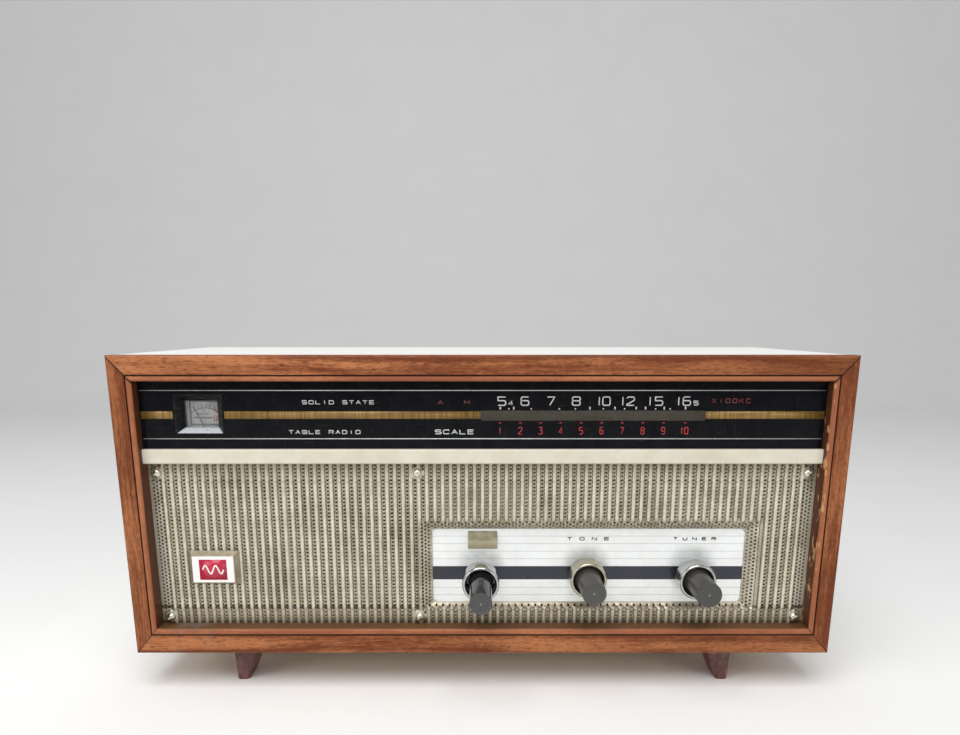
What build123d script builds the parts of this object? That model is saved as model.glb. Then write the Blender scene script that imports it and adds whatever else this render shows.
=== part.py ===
"""Table-top transistor radio: a walnut-framed wooden case with a corrugated metal grille,
a slide-rule dial, a small tuning meter and three long knobs, as the pieces it comes apart into.

Frame: +X to the listener's right, +Y to the rear, +Z up, in millimetres. The origin is the
middle of the footprint (knobs included), on the surface that the feet stand on.
"""
import os
from math import acos, atan2, cos, degrees, hypot, radians, sin, tan

from build123d import *

os.makedirs("parts", exist_ok=True)

# ---------------------------------------------------------------- driving dimensions
case_width = 380.0
case_height = 161.0
case_depth = 151.0
foot_height = 22.0

panel = 9.0                 # thickness of the case's four boards
rail_depth = 10.5           # front frame, front to back
side_rail = 12.0            # width of the frame's upright rails, seen from the front
top_rail = 13.0
bottom_rail = 14.2
bead_share = 0.2            # the inner bead's share of each rail's width
board = 6.0                 # baffle board
board_gap = 0.3             # gap round the baffle board inside the case
cover = 3.0                 # back cover
cover_inset = 4.0           # the back cover's outer face, in front of the case's rear edge
block = 14.0                # square corner blocks

bar_height = 7.7            # cream divider bar
bar_proud = 2.5             # how far it stands in front of the dial glass
glass = 3.5
glass_height = 35.2
inlay_gap = 0.1             # gap round each inlaid front piece

sheet = 0.6                 # grille metal
ridge_pitch = 4.25
ridge_relief = 2.2
ridge_crest = 1.4           # width of a ridge's flat top
ridge_flank = 0.75          # width of each sloping side
end_strip = 5.0             # least plain strip at each end of the grille

shaft = 6.0                 # diameter of the three control shafts
shaft_grip = 8.0            # length of shaft inside each knob
cup_length = 11.0           # metal cup at each knob's root, front to back
knob_spacing = 58.0
knob_height = 42.2          # above the case's underside
middle_knob_x = 57.0
volume_reach = 35.5         # knob tips, in front of the frame's face
tone_reach = 21.0
tuner_reach = 23.0

spindle_radius = 4.0        # where the dial cord wraps the tuning spindle
drum_radius = 31.0
pulley_radius = 6.0
cord = 0.8                  # diameter of the dial cord
running_gap = 0.3           # between the cord and what turns under it
shaft_fit = 0.05            # running clearance on the radius of every turning shaft

# ---------------------------------------------------------------- places worked out from them
knob_reach = max(volume_reach, tone_reach, tuner_reach)
face_y = -(case_depth - knob_reach) / 2
rear_y = face_y + case_depth
case_z = foot_height
top_z = case_z + case_height
half_width = case_width / 2
inner_x = half_width - panel
opening_x = half_width - side_rail
opening_low = case_z + bottom_rail
opening_high = top_z - top_rail
board_back = rail_depth + board
glass_recess = rail_depth - glass
plate_depth = rail_depth + 1.9
drive_depth = board_back + 2.5
chassis_depth = drive_depth + 5.0
cover_depth = case_depth - cover_inset - cover
glass_high = opening_high - inlay_gap
glass_low = glass_high - glass_height
bar_high = glass_low - inlay_gap
bar_low = bar_high - bar_height
grille_high = bar_low - inlay_gap
grille_low = opening_low + inlay_gap
inlay_x = opening_x - inlay_gap
grille_front = rail_depth - sheet - ridge_relief
knob_z = case_z + knob_height
volume_x = middle_knob_x - knob_spacing
tone_x = middle_knob_x
tuner_x = middle_knob_x + knob_spacing


def upright(depth):
    """Plane facing the listener, at a depth behind the face of the wooden frame."""
    return Plane.XZ.offset(-(face_y + depth))


def span(low_u, high_u, low_v, high_v, mode=Mode.ADD):
    """Rectangle between two edges each way, in the sketch being drawn."""
    with Locations(((low_u + high_u) / 2, (low_v + high_v) / 2)):
        Rectangle(high_u - low_u, high_v - low_v, mode=mode)


# ================================================================ the case
def frame_rail(outer_start, outer_end, inner_end, inner_start):
    """One mitred walnut rail: rounded outer edge, and a groove that sets off its inner bead."""
    edge_round = 1.4
    groove_width = 0.7
    groove_depth = 0.9

    def along_mitre(outer, inner, share):
        return tuple(i + (o - i) * share for o, i in zip(outer, inner))

    width = min(top_rail, side_rail, bottom_rail)
    near = bead_share
    far = bead_share + groove_width / width
    groove = [
        along_mitre(outer_start, inner_start, near),
        along_mitre(outer_end, inner_end, near),
        along_mitre(outer_end, inner_end, far),
        along_mitre(outer_start, inner_start, far),
    ]
    with BuildPart() as rail:
        with BuildSketch(upright(0)):
            with BuildLine():
                Polyline(outer_start, outer_end, inner_end, inner_start, close=True)
            make_face()
        extrude(amount=-rail_depth)
        front_edges = rail.faces().sort_by(Axis.Y)[0].edges().sort_by(SortBy.LENGTH)
        fillet(front_edges[-2:], edge_round)
        with BuildSketch(upright(0)):
            with BuildLine():
                Polyline(*groove, close=True)
            make_face()
        extrude(amount=-groove_depth, mode=Mode.SUBTRACT)
    return rail


outer_corners = [(-half_width, top_z), (half_width, top_z), (half_width, case_z), (-half_width, case_z)]
inner_corners = [
    (-opening_x, opening_high),
    (opening_x, opening_high),
    (opening_x, opening_low),
    (-opening_x, opening_low),
]
for index, side in enumerate(["top", "right", "bottom", "left"]):
    following = (index + 1) % 4
    frame_side = frame_rail(
        outer_corners[index], outer_corners[following], inner_corners[following], inner_corners[index]
    )
    frame_side.part.label = f"frame_rail_{side}"
    export_step(frame_side.part, f"parts/frame_rail_{side}.step")

panel_front = face_y + rail_depth

with BuildPart() as top_panel:
    with BuildSketch(Plane.XY.offset(top_z - panel)):
        span(-half_width, half_width, panel_front, rear_y)
    extrude(amount=panel)
    fillet(top_panel.edges().filter_by(Axis.Y).group_by(Axis.Z)[-1], 1.4)
    fillet(top_panel.faces().sort_by(Axis.Y)[-1].edges().filter_by(Axis.X).sort_by(Axis.Z)[-1], 1.0)
top_panel.part.label = "top_panel"
export_step(top_panel.part, "parts/top_panel.step")

foot_top_width = 15.5
foot_tip_width = 6.8
foot_top_length = 24.0
foot_tip_length = 17.0
foot_outer_x = half_width - 49.5
foot_setback = 10.0
foot_screw_shank = 3.0
foot_screw_head = 6.0
foot_screw_length = 20.0
countersink = 82.0          # degrees, the whole cone
foot_x = foot_outer_x - foot_top_width / 2
foot_ys = [
    face_y + foot_setback + foot_top_length / 2,
    rear_y - foot_setback - foot_top_length / 2,
]
foot_places = [(sign * foot_x, y) for sign in (-1, 1) for y in foot_ys]

with BuildPart() as bottom_panel:
    with BuildSketch(Plane.XY.offset(case_z)):
        span(-half_width, half_width, panel_front, rear_y)
    extrude(amount=panel)
    with Locations(*[(x, y, case_z + panel) for x, y in foot_places]):
        CounterSinkHole(foot_screw_shank / 2, foot_screw_head / 2, panel, countersink)
bottom_panel.part.label = "bottom_panel"
export_step(bottom_panel.part, "parts/bottom_panel.step")

for sign, side in [(-1, "left"), (1, "right")]:
    with BuildPart() as side_panel:
        with BuildSketch(Plane.XY.offset(case_z + panel)):
            span(*sorted((sign * inner_x, sign * half_width)), panel_front, rear_y)
        extrude(amount=case_height - 2 * panel)
    side_panel.part.label = f"side_panel_{side}"
    export_step(side_panel.part, f"parts/side_panel_{side}.step")

with BuildPart() as feet:
    for sign in (-1, 1):
        for foot_y in foot_ys:
            tip_x = sign * (foot_outer_x - foot_tip_width / 2)
            with BuildSketch(Plane.XY.offset(case_z)):
                with Locations((sign * foot_x, foot_y)):
                    RectangleRounded(foot_top_width, foot_top_length, 2.0)
            with BuildSketch(Plane.XY):
                with Locations((tip_x, foot_y)):
                    RectangleRounded(foot_tip_width, foot_tip_length, 2.0)
            loft()
    with Locations(*[(x, y, case_z) for x, y in foot_places]):
        Hole(foot_screw_shank / 2, foot_screw_length - panel)
feet.part.label = "feet"
export_step(feet.part, "parts/feet.step")

with BuildPart() as foot_screws:
    head_rise = (foot_screw_head - foot_screw_shank) / 2 / tan(radians(countersink / 2))
    head_gap = 0.2
    point = 2.0
    for x, y in foot_places:
        with BuildSketch(Plane(origin=(x, y, 0), x_dir=(1, 0, 0), z_dir=(0, -1, 0))):
            with BuildLine():
                Polyline(
                    (0, case_z + panel),
                    (foot_screw_head / 2 - head_gap, case_z + panel),
                    (foot_screw_shank / 2, case_z + panel - head_rise + head_gap),
                    (foot_screw_shank / 2, case_z + panel - foot_screw_length + point),
                    (0, case_z + panel - foot_screw_length),
                    close=True,
                )
            make_face()
        revolve(axis=Axis((x, y, 0), (0, 0, 1)))
foot_screws.part.label = "foot_screws"
export_step(foot_screws.part, "parts/foot_screws.step")

# ---- glue blocks in the four corners: the baffle board and the back cover screw to them
screw_hole = 2.4
cover_screw_length = 14.0
block_x = inner_x - block / 2
block_low = case_z + panel + block / 2
block_high = top_z - panel - block / 2
block_places = [(sign * block_x, z) for sign in (-1, 1) for z in (block_low, block_high)]
edge_screw_x = 62.0
cleat_places = [(sign * edge_screw_x, z) for sign in (-1, 1) for z in (block_low, block_high)]
cleat_length = 18.0

with BuildPart() as corner_blocks:
    with BuildSketch(upright(board_back)):
        with Locations(*block_places):
            Rectangle(block, block)
    extrude(amount=-(cover_depth - board_back))
    with BuildSketch(upright(cover_depth - cleat_length)):
        with Locations(*cleat_places):
            Rectangle(block * 2, block)
    extrude(amount=-cleat_length)
    with BuildSketch(upright(cover_depth)):
        with Locations(*block_places, *cleat_places):
            Circle(screw_hole / 2)
    extrude(amount=cover_screw_length - cover, mode=Mode.SUBTRACT)
corner_blocks.part.label = "corner_blocks"
export_step(corner_blocks.part, "parts/corner_blocks.step")

# ---- vented hardboard back
vent_length = 46.0
vent_width = 3.0
vent_rows = 7
vent_pitch = 9.0
vent_columns = 5
vent_space = 14.0           # between the vents' ends
with BuildPart() as back_cover:
    with BuildSketch(upright(cover_depth)):
        span(
            -(inner_x - board_gap),
            inner_x - board_gap,
            case_z + panel + board_gap,
            top_z - panel - board_gap,
        )
        with Locations((0, case_z + case_height / 2)):
            with GridLocations(vent_length + vent_space, vent_pitch, vent_columns, vent_rows):
                SlotOverall(vent_length, vent_width, mode=Mode.SUBTRACT)
        with Locations(*block_places, *cleat_places):
            Circle(screw_hole / 2, mode=Mode.SUBTRACT)
    extrude(amount=-cover)
back_cover.part.label = "back_cover"
export_step(back_cover.part, "parts/back_cover.step")


def dome_screws(places, seat_depth, toward, head, rise, length):
    """Round-head screws along Y: a domed head outside a seat, and a shank the other way."""
    dome_radius = (rise**2 + (head / 2) ** 2) / (2 * rise)
    slot = 0.7
    with BuildPart() as screws:
        with BuildSketch(upright(seat_depth)):
            with Locations(*places):
                Circle(screw_hole / 2)
        extrude(amount=-toward * length)
        for x, z in places:
            centre = (x, face_y + seat_depth + toward * (dome_radius - rise), z)
            with BuildSketch(upright(seat_depth)):
                with Locations((x, z)):
                    Circle(head / 2)
            cap = extrude(amount=toward * rise, mode=Mode.PRIVATE)
            ball = Pos(*centre) * Sphere(dome_radius, mode=Mode.PRIVATE)
            add(cap & ball)
        with BuildSketch(upright(seat_depth - toward * (rise - slot))):
            with Locations(*places):
                Rectangle(head, slot, rotation=35)
        extrude(amount=toward * rise, mode=Mode.SUBTRACT)
    return screws


cover_screw_head = 6.0
cover_screw_rise = 2.0
back_screws = dome_screws(
    block_places + cleat_places,
    case_depth - cover_inset,
    -1,
    cover_screw_head,
    cover_screw_rise,
    cover_screw_length,
)
back_screws.part.label = "back_screws"
export_step(back_screws.part, "parts/back_screws.step")

# ================================================================ the front
# The control plate lies at the bottom of a shallow pan that is pressed into the grille.
plate_left = middle_knob_x - 84.5
plate_right = middle_knob_x + 86.3
plate_low = knob_z - 16.7
plate_high = knob_z + 25.7
pan_left = plate_left - 7.2
pan_right = plate_right + 7.7
pan_low = plate_low - 2.6
pan_high = plate_high + 5.1
plate = 1.2
plate_lap = 1.2             # the plate's margin behind the pan's lips

grille_screw_zs = [grille_low + 3.9, grille_high - 5.5]
grille_screw_xs = [5.3 - inlay_x, plate_left - 7.1, inlay_x - 5.3]
grille_screw_places = [(x, z) for z in grille_screw_zs for x in grille_screw_xs]
grille_screw_head = 5.0
grille_screw_rise = 1.9
dimple = 7.4                # flat pressed seat under each grille screw
dimple_depth = grille_front + 0.7
aperture_low = plate_low - 1.5
aperture_high = grille_high - 10.8
aperture_x = inlay_x - 11.9
aperture_rib = 15.0         # board left between the speaker's and the controls' apertures
control_aperture = (plate_left - 3.5, aperture_x)
speaker_aperture = (-aperture_x, plate_left - 3.5 - aperture_rib)
dial_aperture_x = inlay_x - 5.9
dial_aperture_margin = 2.0

with BuildPart() as baffle_board:
    with BuildSketch(upright(rail_depth)):
        span(
            -(inner_x - board_gap),
            inner_x - board_gap,
            case_z + panel + board_gap,
            top_z - panel - board_gap,
        )
        span(*speaker_aperture, aperture_low, aperture_high, mode=Mode.SUBTRACT)
        span(*control_aperture, aperture_low, aperture_high, mode=Mode.SUBTRACT)
        span(
            -dial_aperture_x,
            dial_aperture_x,
            glass_low + dial_aperture_margin,
            glass_high - dial_aperture_margin,
            mode=Mode.SUBTRACT,
        )
        with Locations(*grille_screw_places):
            Circle(screw_hole / 2, mode=Mode.SUBTRACT)
    extrude(amount=-board)
baffle_board.part.label = "baffle_board"
export_step(baffle_board.part, "parts/baffle_board.step")

ridge_count = int((2 * (inlay_x - end_strip)) / ridge_pitch)
ridge_start = -ridge_count * ridge_pitch / 2
ridge_valley = ridge_pitch - ridge_crest - 2 * ridge_flank

with BuildPart() as grille:
    crest_y = face_y + grille_front
    valley_y = crest_y + ridge_relief
    front_line = [(-inlay_x, valley_y)]
    for ridge in range(ridge_count):
        left = ridge_start + ridge * ridge_pitch + ridge_valley / 2
        front_line += [
            (left, valley_y),
            (left + ridge_flank, crest_y),
            (left + ridge_flank + ridge_crest, crest_y),
            (left + 2 * ridge_flank + ridge_crest, valley_y),
        ]
    front_line.append((inlay_x, valley_y))
    back_line = [(x, y + sheet) for x, y in reversed(front_line)]
    with BuildSketch(Plane.XY.offset(grille_low)):
        with BuildLine():
            Polyline(*front_line, *back_line, close=True)
        make_face()
    extrude(amount=grille_high - grille_low)
    with BuildSketch(upright(grille_front - 1)):
        span(pan_left + sheet / 2, pan_right - sheet / 2, pan_low + sheet / 2, pan_high - sheet / 2)
    extrude(amount=-(plate_depth - grille_front + 2), mode=Mode.SUBTRACT)
    lip_back = plate_depth
    with BuildSketch(upright(grille_front)):
        span(pan_left, pan_right, pan_low, pan_high)
    with BuildSketch(upright(lip_back)):
        span(plate_left - sheet, plate_right + sheet, plate_low - sheet, plate_high + sheet)
    loft()
    with BuildSketch(upright(grille_front)):
        span(pan_left + sheet, pan_right - sheet, pan_low + sheet, pan_high - sheet)
    with BuildSketch(upright(lip_back)):
        span(plate_left, plate_right, plate_low, plate_high)
    loft(mode=Mode.SUBTRACT)
    with BuildSketch(upright(dimple_depth)):
        with Locations(*grille_screw_places):
            Circle(dimple / 2)
    extrude(amount=-(rail_depth - dimple_depth))
    with BuildSketch(upright(grille_front - 1)):
        with Locations(*grille_screw_places):
            Circle(dimple / 2)
    extrude(amount=-(dimple_depth - grille_front + 1), mode=Mode.SUBTRACT)
    with BuildSketch(upright(dimple_depth)):
        with Locations(*grille_screw_places):
            Circle(screw_hole / 2)
    extrude(amount=-(rail_depth - dimple_depth), mode=Mode.SUBTRACT)
grille.part.label = "grille"
export_step(grille.part, "parts/grille.step")

grille_screws = dome_screws(
    grille_screw_places, dimple_depth, 1, grille_screw_head, grille_screw_rise, board_back - dimple_depth
)
grille_screws.part.label = "grille_screws"
export_step(grille_screws.part, "parts/grille_screws.step")

# ---- cream bar between the dial and the grille: its back rests on the baffle board
with BuildPart() as divider_bar:
    with BuildSketch(upright(glass_recess - bar_proud)):
        span(-inlay_x, inlay_x, bar_low, bar_high)
    extrude(amount=-(rail_depth - glass_recess + bar_proud))
    bar_front = divider_bar.faces().sort_by(Axis.Y)[0]
    fillet(bar_front.edges().filter_by(Axis.X), 0.8)
divider_bar.part.label = "divider_bar"
export_step(divider_bar.part, "parts/divider_bar.step")

# ---- dial glass, with the square hole that the meter's bezel fills
meter_x = 30.4 - inlay_x
meter_z = glass_low + glass_height / 2 + 0.1
bezel_width = 25.4
bezel_height = glass_height - 14.4
meter_window_width = 17.6
meter_window_height = bezel_height - 6.6

with BuildPart() as dial_glass:
    with BuildSketch(upright(glass_recess)):
        span(-inlay_x, inlay_x, glass_low, glass_high)
        with Locations((meter_x, meter_z)):
            Rectangle(bezel_width + 2 * inlay_gap, bezel_height + 2 * inlay_gap, mode=Mode.SUBTRACT)
    extrude(amount=-glass)
dial_glass.part.label = "dial_glass"
export_step(dial_glass.part, "parts/dial_glass.step")

bezel_depth = 7.0           # front to back
bezel_edge = 0.8            # flat front edge of the bezel
bevel_depth = 4.0
with BuildPart() as meter_bezel:
    with BuildSketch(upright(glass_recess)):
        with Locations((meter_x, meter_z)):
            Rectangle(bezel_width, bezel_height)
    extrude(amount=-bezel_depth)
    with BuildSketch(upright(glass_recess)):
        with Locations((meter_x, meter_z)):
            Rectangle(bezel_width - 2 * bezel_edge, bezel_height - 2 * bezel_edge)
    with BuildSketch(upright(glass_recess + bevel_depth)):
        with Locations((meter_x, meter_z)):
            Rectangle(meter_window_width, meter_window_height)
    loft(mode=Mode.SUBTRACT)
    with BuildSketch(upright(glass_recess + bevel_depth)):
        with Locations((meter_x, meter_z)):
            Rectangle(meter_window_width, meter_window_height)
    extrude(amount=-bezel_depth, mode=Mode.SUBTRACT)
meter_bezel.part.label = "meter_bezel"
export_step(meter_bezel.part, "parts/meter_bezel.step")

# ---- the meter: a clear barrel-fronted window, a dished card, and a needle on a pivot
window_bulge = 2.2
window_wall = 0.8
window_fit = 0.1
window_skirt = 2.0          # straight sides behind the barrel front
barrel_half = meter_window_width / 2 - window_fit
with BuildPart() as meter_window:
    window_low = meter_z - meter_window_height / 2 + window_fit
    window_rim = face_y + glass_recess + bezel_depth
    with BuildSketch(Plane.XY.offset(window_low)):
        with BuildLine():
            left_front = (meter_x - barrel_half, window_rim - window_skirt)
            right_front = (meter_x + barrel_half, window_rim - window_skirt)
            ThreePointArc(left_front, (meter_x, window_rim - window_skirt - window_bulge), right_front)
            Polyline(
                right_front,
                (right_front[0], window_rim),
                (right_front[0] - window_wall, window_rim),
                (right_front[0] - window_wall, window_rim - window_skirt + window_wall / 2),
            )
            ThreePointArc(
                (right_front[0] - window_wall, window_rim - window_skirt + window_wall / 2),
                (meter_x, window_rim - window_skirt - window_bulge + window_wall),
                (left_front[0] + window_wall, window_rim - window_skirt + window_wall / 2),
            )
            Polyline(
                (left_front[0] + window_wall, window_rim - window_skirt + window_wall / 2),
                (left_front[0] + window_wall, window_rim),
                (left_front[0], window_rim),
                left_front,
            )
        make_face()
    extrude(amount=meter_window_height - 2 * window_fit)
meter_window.part.label = "meter_window"
export_step(meter_window.part, "parts/meter_window.step")

meter_depth = 20.0
meter_wall = 1.0
meter_low = meter_z - bezel_height / 2 - 2.0
meter_high = meter_z + bezel_height / 2 + 2.0
strap = 6.0                 # metal ears that screw the meter to the back of the baffle
strap_sheet = 1.0
pin_length = 5.0
needle_pivot_z = meter_low + 3.4
needle_pin = 1.2
needle_depth = glass_recess + bezel_depth + 1.6
card_depth = needle_depth + 1.4
with BuildPart() as meter_case:
    with BuildSketch(upright(glass_recess + bezel_depth)):
        span(meter_x - bezel_width / 2, meter_x + bezel_width / 2, meter_low, meter_high)
    extrude(amount=-meter_depth)
    with BuildSketch(upright(glass_recess + bezel_depth)):
        span(
            meter_x - bezel_width / 2 + meter_wall,
            meter_x + bezel_width / 2 - meter_wall,
            meter_low + meter_wall,
            meter_high - meter_wall,
        )
    extrude(amount=-(card_depth - glass_recess - bezel_depth), mode=Mode.SUBTRACT)
    with BuildSketch(upright(card_depth)):
        with Locations((meter_x, needle_pivot_z)):
            Circle(needle_pin / 2 + shaft_fit)
    extrude(amount=-(pin_length + 1), mode=Mode.SUBTRACT)
    with BuildSketch(upright(board_back)):
        for sign in (-1, 1):
            strap_x = meter_x + sign * (bezel_width / 2 + strap / 2)
            span(strap_x - strap / 2, strap_x + strap / 2, meter_z, glass_high + 3)
    extrude(amount=-strap_sheet)
meter_case.part.label = "meter_case"
export_step(meter_case.part, "parts/meter_case.step")

needle_length = bezel_height - 7.3
needle_tilt = 24.0          # towards the left, where it rests with no signal
needle_width = 0.9          # at the hub
needle_tip = 0.3
needle_hub = 1.4
needle_sheet = 0.4
with BuildPart() as meter_needle:
    tip = (
        meter_x - needle_length * sin(radians(needle_tilt)),
        needle_pivot_z + needle_length * cos(radians(needle_tilt)),
    )
    with BuildSketch(upright(needle_depth)):
        with BuildLine():
            Polyline(
                (meter_x - needle_width / 2, needle_pivot_z),
                (tip[0] - needle_tip / 2, tip[1]),
                (tip[0] + needle_tip / 2, tip[1]),
                (meter_x + needle_width / 2, needle_pivot_z),
                close=True,
            )
        make_face()
        with Locations((meter_x, needle_pivot_z)):
            Circle(needle_hub)
    extrude(amount=-needle_sheet)
    with BuildSketch(upright(needle_depth)):
        with Locations((meter_x, needle_pivot_z)):
            Circle(needle_pin / 2)
    extrude(amount=-(card_depth - needle_depth + pin_length))
meter_needle.part.label = "meter_needle"
export_step(meter_needle.part, "parts/meter_needle.step")

# ---- control plate, bored for three bushings and cut for the pilot lens
bushing = 9.0
bushing_gap = 0.2
lens_left = volume_x - 6.8
lens_right = volume_x + 8.9
lens_low = plate_high - 11.6
lens_high = plate_high - 1.5
lens_gap = 0.1
knob_places = [(volume_x, knob_z), (tone_x, knob_z), (tuner_x, knob_z)]

with BuildPart() as control_plate:
    with BuildSketch(upright(plate_depth)):
        span(
            plate_left - sheet - plate_lap,
            plate_right + sheet + plate_lap,
            plate_low - plate_lap,
            plate_high + sheet + plate_lap,
        )
        span(
            lens_left - lens_gap,
            lens_right + lens_gap,
            lens_low - lens_gap,
            lens_high + lens_gap,
            mode=Mode.SUBTRACT,
        )
        with Locations(*knob_places):
            Circle(bushing / 2 + bushing_gap, mode=Mode.SUBTRACT)
    extrude(amount=-plate)
control_plate.part.label = "control_plate"
export_step(control_plate.part, "parts/control_plate.step")

lens_body = 4.0
lens_crown = 1.2
lens_flange = 1.0
with BuildPart() as pilot_lens:
    lens_back_y = face_y + plate_depth + lens_body
    lens_front_y = face_y + plate_depth
    lens_mid = (lens_low + lens_high) / 2
    with BuildSketch(Plane.YZ.offset(lens_left)):
        with BuildLine():
            Polyline(
                (lens_front_y, lens_low),
                (lens_back_y, lens_low),
                (lens_back_y, lens_high),
                (lens_front_y, lens_high),
            )
            ThreePointArc(
                (lens_front_y, lens_high), (lens_front_y - lens_crown, lens_mid), (lens_front_y, lens_low)
            )
        make_face()
    extrude(amount=lens_right - lens_left)
    with BuildSketch(upright(plate_depth + plate)):
        span(
            lens_left - lens_flange,
            lens_right + lens_flange,
            lens_low - lens_flange,
            lens_high + lens_flange,
        )
    extrude(amount=-lens_flange)
pilot_lens.part.label = "pilot_lens"
export_step(pilot_lens.part, "parts/pilot_lens.step")

# ---- badge: a raised pressed tray that straddles the ridges, and the plate riveted to it
badge_left = 21.3 - inlay_x
badge_right = badge_left + 22.4
badge_low = grille_low + 25.6
badge_high = badge_low + 14.6
badge_front = grille_front - 4.3
badge_plate_thickness = 0.8
tray_flare = 2.2
with BuildPart() as badge_tray:
    with BuildSketch(upright(badge_front + badge_plate_thickness)):
        span(badge_left, badge_right, badge_low, badge_high)
    with BuildSketch(upright(grille_front)):
        span(
            badge_left - tray_flare,
            badge_right + tray_flare,
            badge_low - tray_flare,
            badge_high + tray_flare,
        )
    loft()
badge_tray.part.label = "badge_tray"
export_step(badge_tray.part, "parts/badge_tray.step")

with BuildPart() as badge_plate:
    with BuildSketch(upright(badge_front)):
        span(badge_left, badge_right, badge_low, badge_high)
    extrude(amount=-badge_plate_thickness)
    fillet(badge_plate.faces().sort_by(Axis.Y)[0].edges(), 0.25)
badge_plate.part.label = "badge_plate"
export_step(badge_plate.part, "parts/badge_plate.step")

# ================================================================ dial drive
drive_y = face_y + drive_depth
scale_left = middle_knob_x - 47.9   # pointer at the low end of the scale
pointer_x = middle_knob_x - 16.3    # where the pointer stands at rest
cord_radius = cord / 2
lane_front = drive_depth - cord_radius - running_gap
drum_x = middle_knob_x + 3.0
drum_z = knob_z + 52.8
drum_width = 3.0
flange = 1.2                # how far a pulley's or drum's rims stand past the cord
pulley_width = 2.4
rail_z = glass_high - 1.3
pulley_z = rail_z - 15.6
pulley_left_x = drum_x - 69.0
pulley_right_x = drum_x + 65.0
pulley_pin = 2.5

chassis_sheet = 1.2
chassis_left = plate_left - 4.0
chassis_right = plate_right + 8.7
chassis_low = case_z + panel
chassis_high = top_z - panel - 2.0
base_back = cover_depth - cleat_length - 10.0


def grooved_wheel(centre_x, centre_z, radius, width, bore):
    """Wheel that carries the cord in a groove between two rims, turning about Y."""
    rim = radius + running_gap + cord + flange
    with BuildPart() as wheel:
        with BuildSketch(upright(drive_depth - width / 2)):
            with Locations((centre_x, centre_z)):
                Circle(rim)
                Circle(bore / 2, mode=Mode.SUBTRACT)
        extrude(amount=-width)
        groove_width = cord + 2 * running_gap
        with BuildSketch(upright(drive_depth - groove_width / 2)):
            with Locations((centre_x, centre_z)):
                Circle(rim + 1)
                Circle(radius, mode=Mode.SUBTRACT)
        extrude(amount=-groove_width, mode=Mode.SUBTRACT)
    return wheel


pulley_bore = pulley_pin + 2 * shaft_fit
for side, pulley_x in [("left", pulley_left_x), ("right", pulley_right_x)]:
    cord_pulley = grooved_wheel(pulley_x, pulley_z, pulley_radius, pulley_width, pulley_bore)
    cord_pulley.part.label = f"cord_pulley_{side}"
    export_step(cord_pulley.part, f"parts/cord_pulley_{side}.step")

# ---- drum: one extra lane for the turn of cord that it winds, and three lightening holes
drum_lanes = 2 * cord + 3 * running_gap
with BuildPart() as dial_drum:
    drum_rim = drum_radius + running_gap + cord + flange
    with BuildSketch(upright(drive_depth - drum_width / 2)):
        with Locations((drum_x, drum_z)):
            Circle(drum_rim)
            Circle(shaft / 2, mode=Mode.SUBTRACT)
            with PolarLocations(drum_radius * 0.58, 3, start_angle=90):
                Circle(drum_radius * 0.24, mode=Mode.SUBTRACT)
    extrude(amount=-drum_width)
    with BuildSketch(upright(lane_front)):
        with Locations((drum_x, drum_z)):
            Circle(drum_rim + 1)
            Circle(drum_radius, mode=Mode.SUBTRACT)
    extrude(amount=-drum_lanes, mode=Mode.SUBTRACT)
dial_drum.part.label = "dial_drum"
export_step(dial_drum.part, "parts/dial_drum.step")

# ---- dial cord: the belt round two pulleys, the spindle and the drum, all turning one way
wraps = [
    (pulley_left_x, pulley_z, pulley_radius + running_gap + cord_radius),
    (pulley_right_x, pulley_z, pulley_radius + running_gap + cord_radius),
    (tuner_x, knob_z, spindle_radius + running_gap + cord_radius),
    (drum_x, drum_z, drum_radius + running_gap + cord_radius),
]


def belt_tangent(start, end):
    """The two points where a belt leaves one wheel and meets the next, keeping outside both."""
    x1, z1, r1 = start
    x2, z2, r2 = end
    heading = atan2(z2 - z1, x2 - x1)
    normal = heading + acos((r1 - r2) / hypot(x2 - x1, z2 - z1))
    return (
        (x1 + r1 * cos(normal), z1 + r1 * sin(normal)),
        (x2 + r2 * cos(normal), z2 + r2 * sin(normal)),
    )


runs = [belt_tangent(wraps[i], wraps[(i + 1) % len(wraps)]) for i in range(len(wraps))]
cord_plane = Plane(origin=(0, drive_y, 0), x_dir=(1, 0, 0), z_dir=(0, -1, 0))
with BuildPart() as dial_cord:
    with BuildLine(cord_plane) as belt:
        for index, (start, end) in enumerate(runs):
            Line(start, end)
            centre_x, centre_z, radius = wraps[(index + 1) % len(wraps)]
            leave = runs[(index + 1) % len(runs)][0]
            middle_angle = atan2(
                (end[1] - centre_z) + (leave[1] - centre_z), (end[0] - centre_x) + (leave[0] - centre_x)
            )
            middle = (centre_x + radius * cos(middle_angle), centre_z + radius * sin(middle_angle))
            ThreePointArc(end, middle, leave)
    belt_start = runs[0][0]
    with BuildSketch(Plane(origin=(belt_start[0], drive_y, belt_start[1]), z_dir=(1, 0, 0))):
        Circle(cord_radius)
    sweep(path=belt.wire())
    for centre_x, centre_z, radius, turns in [(*wraps[2], 2), (*wraps[3], 1)]:
        for turn in range(1, turns + 1):
            lane = drive_y + turn * cord * 0.98
            with Locations(Location((centre_x, lane, centre_z), (90, 0, 0))):
                Torus(radius, cord_radius)
dial_cord.part.label = "dial_cord"
export_step(dial_cord.part, "parts/dial_cord.step")

# ---- the knobs' sizes: axis, reach, space between the cup and the plate, radii of tip and root
knob_sizes = {
    "volume": (volume_x, volume_reach, 9.0, 5.6, 6.9),
    "tone": (tone_x, tone_reach, 2.4, 6.2, 7.4),
    "tuner": (tuner_x, tuner_reach, 4.8, 6.5, 7.4),
}


def shaft_front(name):
    """Depth of a control shaft's front end, which stands inside its knob."""
    return plate_depth - knob_sizes[name][2] - shaft_grip


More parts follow.
